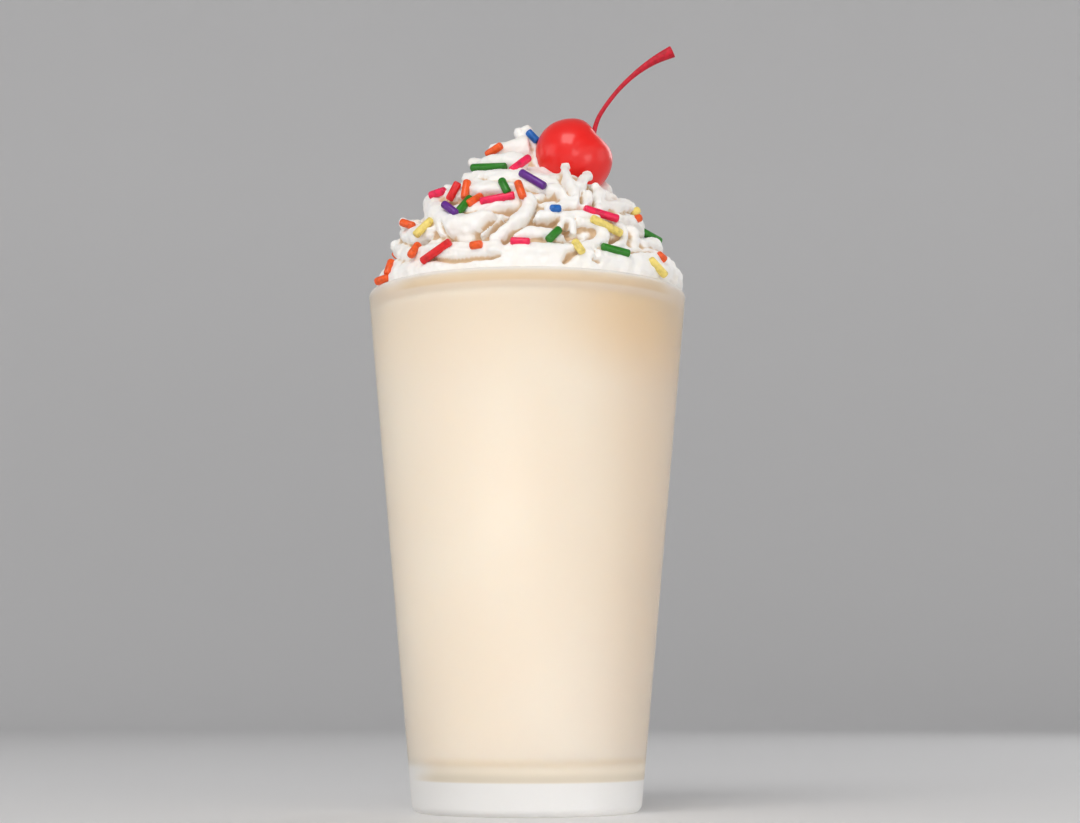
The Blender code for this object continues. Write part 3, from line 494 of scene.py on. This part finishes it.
# Creases that the ribbons left between them, as rows of (angle, height over the rim, width).
CREASES = (
    ((-22, 9, 1), (-19, 11.5, 1.3), (-16, 13.5, 1.3), (-13, 15.5, 1)),
    ((-15, 10.5, 0.7), (-12, 12, 0.8), (-8, 14.5, 0.7)),
    ((-9, 7.5, 0.8), (-6, 10, 1.1), (-1, 12.5, 1.1), (3, 15.5, 0.9), (4, 18.5, 0.6)),
    ((-16, 18.6, 1), (-12, 18.8, 1.7), (-8, 18.6, 1.9), (-5, 18, 1.5)),
    ((-39, 4.5, 0.9), (-29, 3, 1.1), (-21, 3, 1.1), (-15, 3, 1), (-10, 3.5, 0.7)),
    ((3, 13.5, 0.8), (8, 13.5, 1), (13, 14.5, 0.8)),
    ((13, 8, 0.6), (18, 8.5, 0.8), (24, 9, 0.8), (29, 10.5, 0.6)),
    ((17, 13, 0.7), (16, 10.5, 0.7)),
    ((21, 15, 0.6), (22, 13, 0.7)),
    ((7, 21.5, 0.9), (11, 22.5, 1.3), (15, 22.5, 0.9)),
    ((22, 29.5, 0.8), (21, 26, 1.1), (21, 22.5, 0.8)),
    ((30, 24.5, 0.8), (27, 21, 0.9)),
    ((38, 25.5, 0.7), (35, 21, 0.8)),
    ((17, 17.5, 0.7), (21, 18, 0.8), (26, 18, 0.6)),
    ((36, 9.5, 1), (40, 10.5, 1.1)),
    ((43, 6.5, 0.6), (51, 7.5, 0.8), (60, 8, 0.7)),
    ((26, 5.5, 0.6), (26, 4, 0.6)),
    ((25, 3, 0.7), (27, 2.5, 0.6)),
    ((14, 2, 0.8), (16, 3.5, 1.3), (19, 5, 1)),
    ((-21, 23.5, 0.7), (-13, 23.5, 0.9), (-7, 23.5, 0.6)),
    ((-29, 29, 0.6), (-24, 28, 0.6)),
    ((-50, 9.5, 0.8), (-59, 11.5, 0.8)),
    ((-39, 15, 0.5), (-35, 11.5, 0.8), (-29, 9, 0.9), (-21, 8.5, 0.8)),
)
CREASE_DEPTH = 1.5
CREASE_REACH = 3
RAY_START = 10
SHARPEN_ROUNDS = 12
SHARPEN = 1.1
SMOOTHING_ROUNDS = 100
DEEPEST_CREASE = 0.7 * MM


def mound_radius(lift):
    """The mound's radius at a height over the rim, both in millimetres."""
    for (low, wide), (high, narrow) in zip(MOUND, MOUND[1:]):
        if lift <= high:
            share = max(0.0, (lift - low) / (high - low))
            return wide + (narrow - wide) * share
    return MOUND[-1][1]


def on_mound(angle, lift, depth):
    """A point at an angle from the front towards the right, at a depth under the mound."""
    slope = (mound_radius(lift + 1) - mound_radius(lift - 1)) / 2
    outwards = Vector((1, -slope)).normalized()
    radius = mound_radius(lift) - depth * outwards.x
    height = GLASS_HEIGHT / MM + lift - depth * outwards.y
    turn = math.radians(angle)
    return Vector((radius * math.sin(turn), -radius * math.cos(turn), height)) * MM


def curve_through(rows):
    """Rows of numbers on a smooth curve through the given rows."""
    ends = [rows[0], *rows, rows[-1]]
    curve = []
    for before, start, stop, after in zip(ends, ends[1:], ends[2:], ends[3:]):
        for step in range(CURVE_STEPS):
            t = step / CURVE_STEPS
            curve.append([b + 0.5 * t * (c - a + t * (2 * a - 5 * b + 4 * c - d
                                                      + t * (3 * (b - c) + d - a)))
                          for a, b, c, d in zip(before, start, stop, after)])
    curve.append(list(rows[-1]))
    return curve


def spaced(places, radii, spacing):
    """The same path as (distance, place, radius) at even distances."""
    travelled = [0.0]
    for start, stop in zip(places, places[1:]):
        travelled.append(travelled[-1] + (stop - start).length)
    count = max(4, round(travelled[-1] / spacing))
    path = []
    index = 0
    for step in range(count + 1):
        along = travelled[-1] * step / count
        while index < len(places) - 2 and travelled[index + 1] < along:
            index += 1
        share = (along - travelled[index]) / (travelled[index + 1] - travelled[index])
        place = places[index].lerp(places[index + 1], share)
        path.append((along, place, radii[index] + (radii[index + 1] - radii[index]) * share))
    return path


def tip_factor(distance, tip):
    """How a strand rounds off towards its end."""
    if distance >= tip:
        return 1.0
    return max(TIP_END, math.sqrt(1 - (1 - distance / tip) ** 2))


def next_ring(shape, edges):
    """Extrudes a ring's edges where they are, and gives the new ring's points and edges."""
    grown = bmesh.ops.extrude_edge_only(shape, edges=edges)["geom"]
    return ([part for part in grown if isinstance(part, bmesh.types.BMVert)],
            [part for part in grown if isinstance(part, bmesh.types.BMEdge)])


def swept(path, section, twist=0.0, tips=(0.0, 0.0)):
    """A closed body: the section extruded along a path of (distance, place, size)."""
    shape = bmesh.new()
    places = [place for _, place, _ in path]
    length = path[-1][0]
    ahead = [(after - before).normalized()
             for before, after in zip(places[:1] + places[:-1], places[1:] + places[-1:])]
    side = ahead[0].orthogonal().normalized()
    if abs(ahead[0].z) < 0.9:
        side = (Vector((0, 0, 1)) - ahead[0] * ahead[0].z).normalized()
    ring = bmesh.ops.create_circle(shape, segments=len(section), radius=1, cap_ends=True)["verts"]
    for point, size in zip(ring, section):
        point.co *= size
    edges = shape.edges[:]
    last = Matrix.Identity(4)
    for index, (along, place, size) in enumerate(path):
        if index:
            side = ahead[index - 1].rotation_difference(ahead[index]) @ side
            side = (side - ahead[index] * side.dot(ahead[index])).normalized()
            ring, edges = next_ring(shape, edges)
        turn = Matrix((side, ahead[index].cross(side), ahead[index])).transposed().to_4x4()
        size *= min(tip_factor(along, tips[0]), tip_factor(length - along, tips[1]))
        station = (Matrix.Translation(place) @ turn @ Matrix.Rotation(twist * along, 4, "Z")
                   @ Matrix.Scale(size, 4))
        bmesh.ops.transform(shape, matrix=station @ last.inverted(), verts=ring)
        last = station
    bmesh.ops.holes_fill(shape, edges=edges)
    bmesh.ops.recalc_face_normals(shape, faces=shape.faces)
    return shape


def star(ribs, groove):
    """The sizes round a star nozzle's section, or round a plain one with no ribs."""
    if not ribs:
        return [1.0] * PLAIN_SIDES
    steps = ribs * SIDES_PER_RIB
    return [1 - groove * (1 - abs(math.cos(math.pi * ribs * step / steps)) ** RIB_ROUNDNESS)
            for step in range(steps)]


def tier_rows():
    """The long strand that winds up the mound, uneven as a hand pipes it."""
    rows = []
    for step in range(TIER_STEPS + 1):
        share = step / TIER_STEPS
        angle = TIER_START + TIER_TURN * share
        wander = WANDER * math.sin(math.radians(WANDER_RATE * angle))
        swell = SWELL * math.sin(math.radians(SWELL_RATE * angle))
        rows.append((angle, TIER_LOW + TIER_RISE * share + wander,
                     TIER_RADIUS - TIER_THINNING * share + swell))
    return rows


def tier_sink(angle, lift):
    """How far the winding strand lies under the mound, in millimetres."""
    rise = (lift - SINK_LEFT_LOW) / (SINK_LEFT_HIGH - SINK_LEFT_LOW)
    left = max(0.0, math.cos(math.radians(angle + 90))) * min(1.0, max(0.0, rise))
    front_right = math.cos(math.radians(angle - SINK_ANGLE))
    return SINK_ROUND + SINK_FRONT_RIGHT * front_right + SINK_LEFT * left


def apply_modifiers(item):
    bpy.context.view_layer.update()
    seen = item.evaluated_get(bpy.context.evaluated_depsgraph_get())
    mesh = bpy.data.meshes.new_from_object(seen)
    item.modifiers.clear()
    item.data = mesh


def boolean(item, operation, shape):
    """One Boolean with a helper that is then removed."""
    other = bare_piece("other", shape)
    cut = item.modifiers.new(operation, "BOOLEAN")
    cut.operation = operation
    cut.solver = "MANIFOLD"
    cut.object = other
    apply_modifiers(item)
    bpy.data.objects.remove(other)


def add_strand(shape, places, radii, strand):
    tips = [tip * MM for tip in strand.tips]
    piece = swept(spaced(places, radii, STRAND_SPACING), star(strand.ribs, strand.groove),
                  math.radians(strand.twist) / MM, tips)
    mesh = bpy.data.meshes.new("strand")
    piece.to_mesh(mesh)
    piece.free()
    shape.from_mesh(mesh)
    bpy.data.meshes.remove(mesh)


def bell(distance, spread):
    return math.exp(-((distance / spread) ** 2))


def press_creases(item):
    """Pushes each crease into the surface where it lies, as a fingertip's edge would."""
    surface = BVHTree.FromObject(item, bpy.context.evaluated_depsgraph_get())
    dents = []
    for crease in CREASES:
        for angle, lift, width in curve_through(crease):
            start = on_mound(angle, lift, -RAY_START)
            inwards = (on_mound(angle, lift, 0) - start).normalized()
            spot = surface.ray_cast(start, inwards)[0]
            if spot is not None:
                dents.append((spot, inwards, width * MM))
    nearest = KDTree(len(dents))
    for index, (spot, _, _) in enumerate(dents):
        nearest.insert(spot, index)
    nearest.balance()
    for point in item.data.vertices:
        spot, index, distance = nearest.find(point.co)
        width = dents[index][2]
        if distance < CREASE_REACH * width:
            point.co += dents[index][1] * CREASE_DEPTH * width * bell(distance, width)


def smoothed(mesh, rounds):
    """Where the points are, and where they go when each moves towards its neighbours."""
    places = np.empty(3 * len(mesh.vertices))
    mesh.vertices.foreach_get("co", places)
    places = places.reshape(-1, 3)
    ends = np.empty(2 * len(mesh.edges), dtype=int)
    mesh.edges.foreach_get("vertices", ends)
    first, second = ends.reshape(-1, 2).T
    count = len(places)
    neighbours = np.bincount(first, minlength=count) + np.bincount(second, minlength=count)
    smooth = places.copy()
    for _ in range(rounds):
        mean = np.stack([np.bincount(first, smooth[second, axis], count)
                         + np.bincount(second, smooth[first, axis], count)
                         for axis in range(3)], axis=1) / neighbours[:, None]
        smooth = (smooth + mean) / 2
    return places, smooth


def sharpen(item):
    """Draws the ridges out and the creases in, which the fusing had rounded off."""
    places, smooth = smoothed(item.data, SHARPEN_ROUNDS)
    item.data.vertices.foreach_set("co", (places + SHARPEN * (places - smooth)).ravel())
    item.data.update()


def mark_crease_shade(item):
    """Stores how deep each point lies in a crease, from 0 to 1, for the material's painted shade.
    """
    mesh = item.data
    places, smooth = smoothed(mesh, SMOOTHING_ROUNDS)
    facing = np.empty(3 * len(mesh.vertices))
    mesh.vertices.foreach_get("normal", facing)
    depth = np.sum((smooth - places) * facing.reshape(-1, 3), axis=1) / DEEPEST_CREASE
    mesh.attributes.new("crease", "FLOAT", "POINT").data.foreach_set(
        "value", np.clip(depth, 0, 1))


plug = RIM_RADIUS - WALL + PLUG_SPARE
plug_bottom = SHAKE_LEVEL - PLUG_SPARE
core_outline = [(0, plug_bottom), (plug, plug_bottom), (plug, GLASS_HEIGHT - LIP_ROUNDING / 2)]
for lift in range(0, CORE_TOP, 5):
    core_outline.append(((mound_radius(lift) - CORE_DEPTH) * MM, GLASS_HEIGHT + lift * MM))
core_outline.append((0, GLASS_HEIGHT + CORE_TOP * MM))
cream_shape = turned(core_outline, CORE_STEPS)
tiers = Strand(8, 0.24, 3, (6, 6), 1.0, tier_rows())
rows = curve_through(tiers.rows)
places = [on_mound(angle, lift, thick + tier_sink(angle, lift)) for angle, lift, thick in rows]
add_strand(cream_shape, places, [thick * MM for _, _, thick in rows], tiers)
for strand in STRANDS.values():
    rows = curve_through(strand.rows)
    places = [on_mound(angle, lift, strand.depth * thick) for angle, lift, thick in rows]
    add_strand(cream_shape, places, [thick * MM for _, _, thick in rows], strand)
for strand in POINTS.values():
    rows = curve_through(strand.rows)
    places = [Vector((x * MM, y * MM, GLASS_HEIGHT + lift * MM)) for x, y, lift, _ in rows]
    add_strand(cream_shape, places, [thick * MM for _, _, _, thick in rows], strand)
cream = bare_piece("cream", cream_shape)
fuse = cream.modifiers.new("fuse", "REMESH")
fuse.mode = "VOXEL"
fuse.voxel_size = CREAM_VOXEL
for name, (size, height) in (("lumps", LUMPS), ("grains", GRAINS)):
    pattern = bpy.data.textures.new(name, "CLOUDS")
    pattern.noise_scale = size
    uneven = cream.modifiers.new(name, "DISPLACE")
    uneven.texture = pattern
    uneven.texture_coords = "LOCAL"
    uneven.mid_level = 0.5
    uneven.strength = height
soften = cream.modifiers.new("soften", "SMOOTH")
soften.factor = 0.5
soften.iterations = 1
apply_modifiers(cream)
press_creases(cream)
sharpen(cream)

# The cream keeps out of the glass, but for the reach into its wall that leaves no air gap.
below = SHAKE_LEVEL - MOULD_SPARE
outside = RIM_RADIUS + MOULD_SPARE
floor = SHAKE_LEVEL - CREAM_REACH
mould_outline = [(0, below), (outside, below), (outside, lip_centre[1])]
mould_outline += arc(lip_centre, LIP_ROUNDING - CREAM_REACH, 0, 180, 12)
mould_outline += [(glass_radius(floor) - WALL + CREAM_REACH, floor), (0, floor)]
boolean(cream, "DIFFERENCE", turned(mould_outline, ROUND_STEPS))

# The cherry
# A candied cherry, tipped to the right and pressed into the cream. It is a glossy ball with soft
# shoulders round the dimple that its stem stands in.

CHERRY_RADIUS = 10.95 * MM
CHERRY_CENTRE = Vector((13.3, -4, 182.9)) * MM
CHERRY_TILT = math.radians(49)
CHERRY_STEPS = 48
CHERRY_GAP = 0.05 * MM
DIMPLE_DEPTH = 1.3 * MM
DIMPLE_SPREAD = math.radians(18)
FURROW_DEPTH = 2.3 * MM
FURROW_SPREAD = math.radians(24)
FURROW_REACH = 7 * MM
CHEEK = 0.55 * MM
CHEEK_TURN = math.radians(-95)
CHEEK_SPREAD = math.radians(32)
CHERRY_COLOUR = (0.97, 0.018, 0.012)
CHERRY_SHADE = (0.8, 0.012, 0.01)


def cherry_shape(gap):
    """The cherry on its own upright axis, with its dimple, furrow and cheek, then tipped."""
    outline = []
    for step in range(CHERRY_STEPS + 1):
        angle = math.pi * step / CHERRY_STEPS
        radius = CHERRY_RADIUS + gap - DIMPLE_DEPTH * bell(angle, DIMPLE_SPREAD)
        outline.append((radius * math.sin(angle), radius * math.cos(angle)))
    outline[0] = (0, outline[0][1])
    outline[-1] = (0, outline[-1][1])
    shape = turned(outline, 2 * CHERRY_STEPS)
    for point in shape.verts:
        turn = math.atan2(point.co.x, point.co.z)
        near = bell(point.co.y, FURROW_REACH)
        furrow = FURROW_DEPTH * bell(turn, FURROW_SPREAD) * near
        cheek = CHEEK * bell(turn - CHEEK_TURN, CHEEK_SPREAD) * near
        point.co += point.co.normalized() * (cheek - furrow)
    tip = Matrix.Rotation(CHERRY_TILT, 4, "Y")
    bmesh.ops.transform(shape, matrix=Matrix.Translation(CHERRY_CENTRE) @ tip, verts=shape.verts)
    return shape


cherry_material, place = new_material("candied cherry")
blush = place.noise(160, 3)
show(place, shade(place, Base_Color=blush.mix(CHERRY_COLOUR, CHERRY_SHADE),
                  Roughness=0.3 + 0.1 * blush, Coat_Weight=0.4, Coat_Roughness=0.1,
                  Specular_IOR_Level=0.35, Subsurface_Weight=0.3,
                  Subsurface_Radius=(1.0, 0.15, 0.1), Subsurface_Scale=1.5 * MM,
                  Normal=place.bump(place.noise(420, 2), 0.12 * MM, 0.35)))
cherry = bare_piece("cherry_fruit", cherry_shape(0))
dress(cherry, "cherry", cherry_material)

boolean(cream, "DIFFERENCE", cherry_shape(CHERRY_GAP))
thin = cream.modifiers.new("thin out", "DECIMATE")
thin.ratio = min(1.0, MOST_CREAM_TRIANGLES / (2 * len(cream.data.polygons)))
apply_modifiers(cream)
mark_crease_shade(cream)
cream.name = "piped_cream"
cream_material, place = new_material("whipped cream")
pores = place.noise(1500, 3)
waves = place.noise(260, 3)
height = place.axis("Z")
colour = waves.between(0.3, 0.75).mix(CREAM_COLOUR, CREAM_SHADE)
# Painted shade: tan in the creases, the more the deeper they lie.
crease = place.node("ShaderNodeAttribute", {"attribute_name": "crease"}, {}, output="Fac")
colour = crease.between(0.1, 0.95).mix(colour, CREASE_SHADE_COLOUR)
# Painted shade: tan on the cream below the lip, inside the glass.
colour = height.step_over(GLASS_HEIGHT, RIM_SHADE_UP).mix(colour, CREAM_RIM_SHADE)
show(place, shade(place, Base_Color=colour, Roughness=0.42 + 0.12 * waves, IOR=1.4,
                  Subsurface_Weight=0.15, Subsurface_Radius=(1.0, 0.8, 0.6),
                  Subsurface_Scale=0.8 * MM,
                  Normal=place.bump(pores + 2 * waves, 0.08 * MM, 0.35)))
dress(cream, "whipped_cream", cream_material)

# The stem
# The cherry's own stem, dyed with it: a thin woody stalk that widens at the end where it was
# picked. It stands in the dimple and arches to the right.

STEM_ROUTE = ((18.6, -4, 188.2), (18.9, -4, 190.3), (20.2, -4, 194.4), (22.9, -4.2, 198.7),
              (26.6, -4.6, 203.2), (31.2, -5, 207.4), (36.2, -5.4, 210.8), (41.2, -5.8, 213.2))
STEM_RADII = (0.95, 0.72, 0.64, 0.62, 0.65, 0.8, 1.2, 1.75)
STEM_SIDES = 20
STEM_SPACING = 0.35 * MM
STEM_COLOUR = (0.64, 0.012, 0.035)
STEM_SHADE = (0.44, 0.012, 0.025)

rows = curve_through([(*place, radius) for place, radius in zip(STEM_ROUTE, STEM_RADII)])
path = spaced([Vector(row[:3]) * MM for row in rows], [row[3] * MM for row in rows],
              STEM_SPACING)
stem = bare_piece("cherry_stalk", swept(path, [1.0] * STEM_SIDES))
stem_material, place = new_material("cherry stalk")
bark = place.noise(900, 3)
show(place, shade(place, Base_Color=bark.between(0.35, 0.7).mix(STEM_COLOUR, STEM_SHADE),
                  Roughness=0.4 + 0.2 * bark, Specular_IOR_Level=0.3, Subsurface_Weight=0.15,
                  Subsurface_Radius=(1.0, 0.2, 0.15), Subsurface_Scale=0.5 * MM,
                  Normal=place.bump(bark, 0.12 * MM, 0.6)))
dress(stem, "cherry_stem", stem_material)

# The sprinkles
# Rods of coloured sugar paste, cut short, in seven colours, that lie in the cream where they
# fell. They are extruded from end to end, and those of each colour are one piece.

SPRINKLE_RADIUS = 1.15 * MM
SPRINKLE_SIDES = 10
SPRINKLE_RISE = 0.6 * MM
# A rod's rounded end, as shares of its rounding and of its radius.
ROD_ROUNDING = 0.45 * SPRINKLE_RADIUS
ROD_END = ((0, 0.62), (0.3, 0.88), (1, 1))
# A rod rests on the cream at this share of its length either side of its middle, leaning away
# from the eye no more than this.
REST = 0.35
MOST_LEAN = 0.6
LONGEST_SPRINKLE = 11.5
EYE = Vector((3.6, -621.7, 31.7)) * MM
SPRINKLE_COLOURS = {
    "green": (0.02, 0.22, 0.008), "orange": (0.96, 0.12, 0.015), "pink": (0.96, 0.015, 0.1),
    "purple": (0.13, 0.015, 0.28), "red": (0.85, 0.015, 0.018), "yellow": (0.96, 0.76, 0.2),
    "blue": (0.01, 0.15, 0.55)}
# The sprinkles that are seen in front: their colour, where their middles are seen in the upright
# plane through the glass's axis (x, height over the rim), their turn in it in degrees, and their
# seen length, in millimetres.
FRONT_SPRINKLES = (
    ("blue", 1.5, 46, -47, 4.1), ("orange", -9.5, 42, 34, 5.1), ("green", -11, 37, 2, 9.7),
    ("pink", -2, 38, 37, 6.2), ("purple", 1.5, 33.5, -31, 7.8), ("green", -6.5, 31.5, -64, 4.1),
    ("orange", -2, 30.5, -71, 4.6), ("pink", -8.5, 28, 11, 9.5), ("red", -21, 30, 63, 5.7),
    ("orange", -17.5, 30.5, 81, 5.1), ("orange", -15, 27.5, 31, 4.6), ("green", -18, 26, 50, 5.7),
    ("purple", -22, 25, -38, 4.6), ("pink", -25.5, 29.5, 19, 4.6),
    ("orange", -34, 20.5, -18, 3.8), ("yellow", -29.5, 19.5, 44, 6.5),
    ("orange", -32, 13, 55, 4.1), ("red", -25.9, 12.6, 36, 9.4),
    ("orange", -14.5, 14.5, 8, 3.2), ("pink", -2, 15.5, -3, 5.1), ("green", 7.5, 17.5, 45, 4.6),
    ("blue", 8, 25, 0, 2.6), ("pink", 21, 23.5, -17, 9.7), ("yellow", 22.5, 20, -28, 9.2),
    ("yellow", 30.5, 24, 30, 2.6), ("orange", 31, 22, 20, 2.6), ("green", 35, 17, -29, 6.5),
    ("green", 25, 13, -15, 7.8), ("yellow", 14.5, 14, -55, 3.8), ("yellow", 37, 8, -48, 6.2),
    ("orange", 38, 11, -40, 2.7), ("orange", -39, 8, 72, 4.1), ("orange", -41, 4.5, 20, 3.8))
HIDDEN_SPRINKLES = 34
HIDDEN_START = 98
HIDDEN_SPAN = 164
HIDDEN_LOW = 7
HIDDEN_HIGH = 41
HIDDEN_LENGTHS = (4.5, 8.5)
HIDDEN_RAY_START = 15
SUGAR_SHADE = 0.72
GOLDEN = (math.sqrt(5) - 1) / 2


def add_sprinkle(shape, place, along, length):
    """A rod with rounded ends, extruded ring by ring from one end to the other."""
    rings = [(-length / 2 + ROD_ROUNDING * run, SPRINKLE_RADIUS * wide) for run, wide in ROD_END]
    rings += [(-run, wide) for run, wide in reversed(rings)]
    turn = Vector((0, 0, 1)).rotation_difference(along).to_matrix().to_4x4()
    seat = Matrix.Translation(place) @ turn
    ring = bmesh.ops.create_circle(shape, segments=SPRINKLE_SIDES, radius=1, cap_ends=True)["verts"]
    edges = list({edge for point in ring for edge in point.link_edges})
    last = Matrix.Identity(4)
    for index, (run, wide) in enumerate(rings):
        if index:
            ring, edges = next_ring(shape, edges)
        station = seat @ Matrix.Translation((0, 0, run)) @ Matrix.Scale(wide, 4)
        bmesh.ops.transform(shape, matrix=station @ last.inverted(), verts=ring)
        last = station
    bmesh.ops.contextual_create(shape, geom=edges)


surface = BVHTree.FromObject(cream, bpy.context.evaluated_depsgraph_get())
rods = []
for colour, x, lift, turn, length in FRONT_SPRINKLES:
    flat = Vector((math.cos(math.radians(turn)), 0, math.sin(math.radians(turn))))
    middle = Vector((x * MM, 0, GLASS_HEIGHT + lift * MM))
    sight = (middle - EYE).normalized()
    seen = []
    for share in (-REST, 0, REST):
        run = share * length * MM
        spot = surface.ray_cast(EYE, (middle + flat * run - EYE).normalized())[0]
        if spot is not None:
            seen.append((run, (spot - EYE).length))
    if len(seen) < 3:
        spot, outwards, _, _ = surface.ray_cast(EYE, sight)
        if spot is None:
            spot, outwards, _, _ = surface.find_nearest(middle)
        lean = -flat.dot(outwards) / sight.dot(outwards)
        seen = [(0, (spot - EYE).length)]
    else:
        lean = (seen[2][1] - seen[0][1]) / (seen[2][0] - seen[0][0])
    lean = max(-MOST_LEAN, min(MOST_LEAN, lean))
    reach = min(far - lean * run for run, far in seen)
    along = flat + sight * lean
    length = min(LONGEST_SPRINKLE, length * along.length)
    rods.append((colour, EYE + sight * (reach - SPRINKLE_RISE), along.normalized(), length * MM))
draw = random.Random(7)
for index in range(HIDDEN_SPRINKLES):
    angle = HIDDEN_START + HIDDEN_SPAN * (index * GOLDEN % 1)
    lift = HIDDEN_LOW + (HIDDEN_HIGH - HIDDEN_LOW) * (index + 0.5) / HIDDEN_SPRINKLES
    start = on_mound(angle, lift, -HIDDEN_RAY_START)
    spot, outwards, _, _ = surface.ray_cast(start, on_mound(angle, lift, 0) - start)
    turn = draw.uniform(0, math.pi)
    length = draw.uniform(*HIDDEN_LENGTHS)
    if spot is None:
        continue
    across = outwards.orthogonal().normalized()
    along = across * math.cos(turn) + outwards.cross(across) * math.sin(turn)
    colour = list(SPRINKLE_COLOURS)[index % len(SPRINKLE_COLOURS)]
    rods.append((colour, spot + outwards * SPRINKLE_RISE, along, length * MM))

for colour, paint in SPRINKLE_COLOURS.items():
    shape = bmesh.new()
    for name, spot, along, length in rods:
        if name == colour:
            add_sprinkle(shape, spot, along, length)
    bmesh.ops.recalc_face_normals(shape, faces=shape.faces)
    sprinkles = bare_piece("sprinkles_" + colour, shape)
    sugar_material, place = new_material(colour + " sugar")
    grain = place.noise(700, 3)
    darker = tuple(SUGAR_SHADE * part for part in paint)
    show(place, shade(place, Base_Color=grain.between(0.4, 0.75).mix(paint, darker),
                      Roughness=0.3 + 0.12 * grain, Subsurface_Weight=0.12,
                      Subsurface_Radius=(1.0, 1.0, 1.0), Subsurface_Scale=0.4 * MM,
                      Normal=place.bump(grain, 0.08 * MM, 0.4)))
    dress(sprinkles, "whipped_cream", sugar_material)

# The studio
# A pale floor that curves up into a wall, a large soft key lamp high at the front left, weaker
# ones in front, low at the right, at both sides and behind, and a narrow one on the foot. The
# camera has the photograph's height and angle.

ROOM_RADIUS = 2.2
ROOM_CURVE = 0.7
ROOM_HEIGHT = 2.4
ROOM_STEPS = 96
FLOOR_COLOUR = (0.8, 0.8, 0.81)
FLOOR_SHADE = (0.78, 0.78, 0.79)
SKY_STRENGTH = 0.22
CAMERA_PITCH = math.radians(7.26)
FOCAL_PIXELS = 2232
FRAME_PIXELS = 1080
SENSOR = 36


def area_lamp(name, place, size, power, target, colour=(1, 1, 1), spread=math.pi):
    light = bpy.data.lights.new(name, "AREA")
    light.shape = "SQUARE"
    light.size = size
    light.energy = power
    light.color = colour
    light.spread = spread
    lamp = bpy.data.objects.new(name, light)
    bpy.context.scene.collection.objects.link(lamp)
    lamp.location = place
    lamp.rotation_mode = "QUATERNION"
    lamp.rotation_quaternion = (Vector(place) - Vector(target)).to_track_quat("Z", "Y")


room_outline = [(0, 0), (ROOM_RADIUS - ROOM_CURVE, 0)]
room_outline += arc((ROOM_RADIUS - ROOM_CURVE, ROOM_CURVE), ROOM_CURVE, -90, 0, 24)
room_outline += [(ROOM_RADIUS, ROOM_HEIGHT)]
room = bare_piece("studio_floor", spun(room_outline, ROOM_STEPS))
floor_material, place = new_material("pale floor")
show(place, shade(place, Base_Color=place.noise(3, 2).mix(FLOOR_COLOUR, FLOOR_SHADE),
                  Roughness=0.6))
room.data.materials.append(floor_material)
room.data.shade_smooth()

area_lamp("key", (-0.52, -1.27, 1.45), 1.1, 17, (0, 0, 0.1), (1, 0.985, 0.96))
area_lamp("fill", (0.9, -1.3, 0.3), 1.6, 3.4, (0, 0, 0.1), (1, 0.94, 0.84))
area_lamp("low", (0.1, -1.5, 0.25), 0.5, 2, (0, 0, 0.05))
area_lamp("low right", (0.35, -0.4, 0.06), 0.2, 0.3, (0.03, 0, 0))
area_lamp("foot", (0.3, -0.42, 0.03), 0.06, 0.0035, (0.008, -0.03, 0.007), (1, 1, 1),
          math.radians(16))
area_lamp("left", (-1.4, -0.35, 0.35), 0.9, 2.6, (0, 0, 0.1))
area_lamp("right", (1.4, -0.1, 0.3), 0.8, 1.5, (0, 0, 0.08))
area_lamp("back", (0.7, 0.9, 0.7), 0.6, 2, (0, 0, 0.1))
world = bpy.data.worlds.new("studio")
world.use_nodes = True
world.node_tree.nodes["Background"].inputs["Color"].default_value = (1, 1, 1, 1)
world.node_tree.nodes["Background"].inputs["Strength"].default_value = SKY_STRENGTH
bpy.context.scene.world = world
bpy.context.scene.view_settings.view_transform = "Standard"

camera = bpy.data.cameras.new("camera")
camera.sensor_width = SENSOR
camera.lens = FOCAL_PIXELS / FRAME_PIXELS * SENSOR
camera_object = bpy.data.objects.new("camera", camera)
camera_object.location = EYE
camera_object.rotation_euler = (math.pi / 2 + CAMERA_PITCH, 0, 0)
bpy.context.scene.collection.objects.link(camera_object)
bpy.context.scene.camera = camera_object
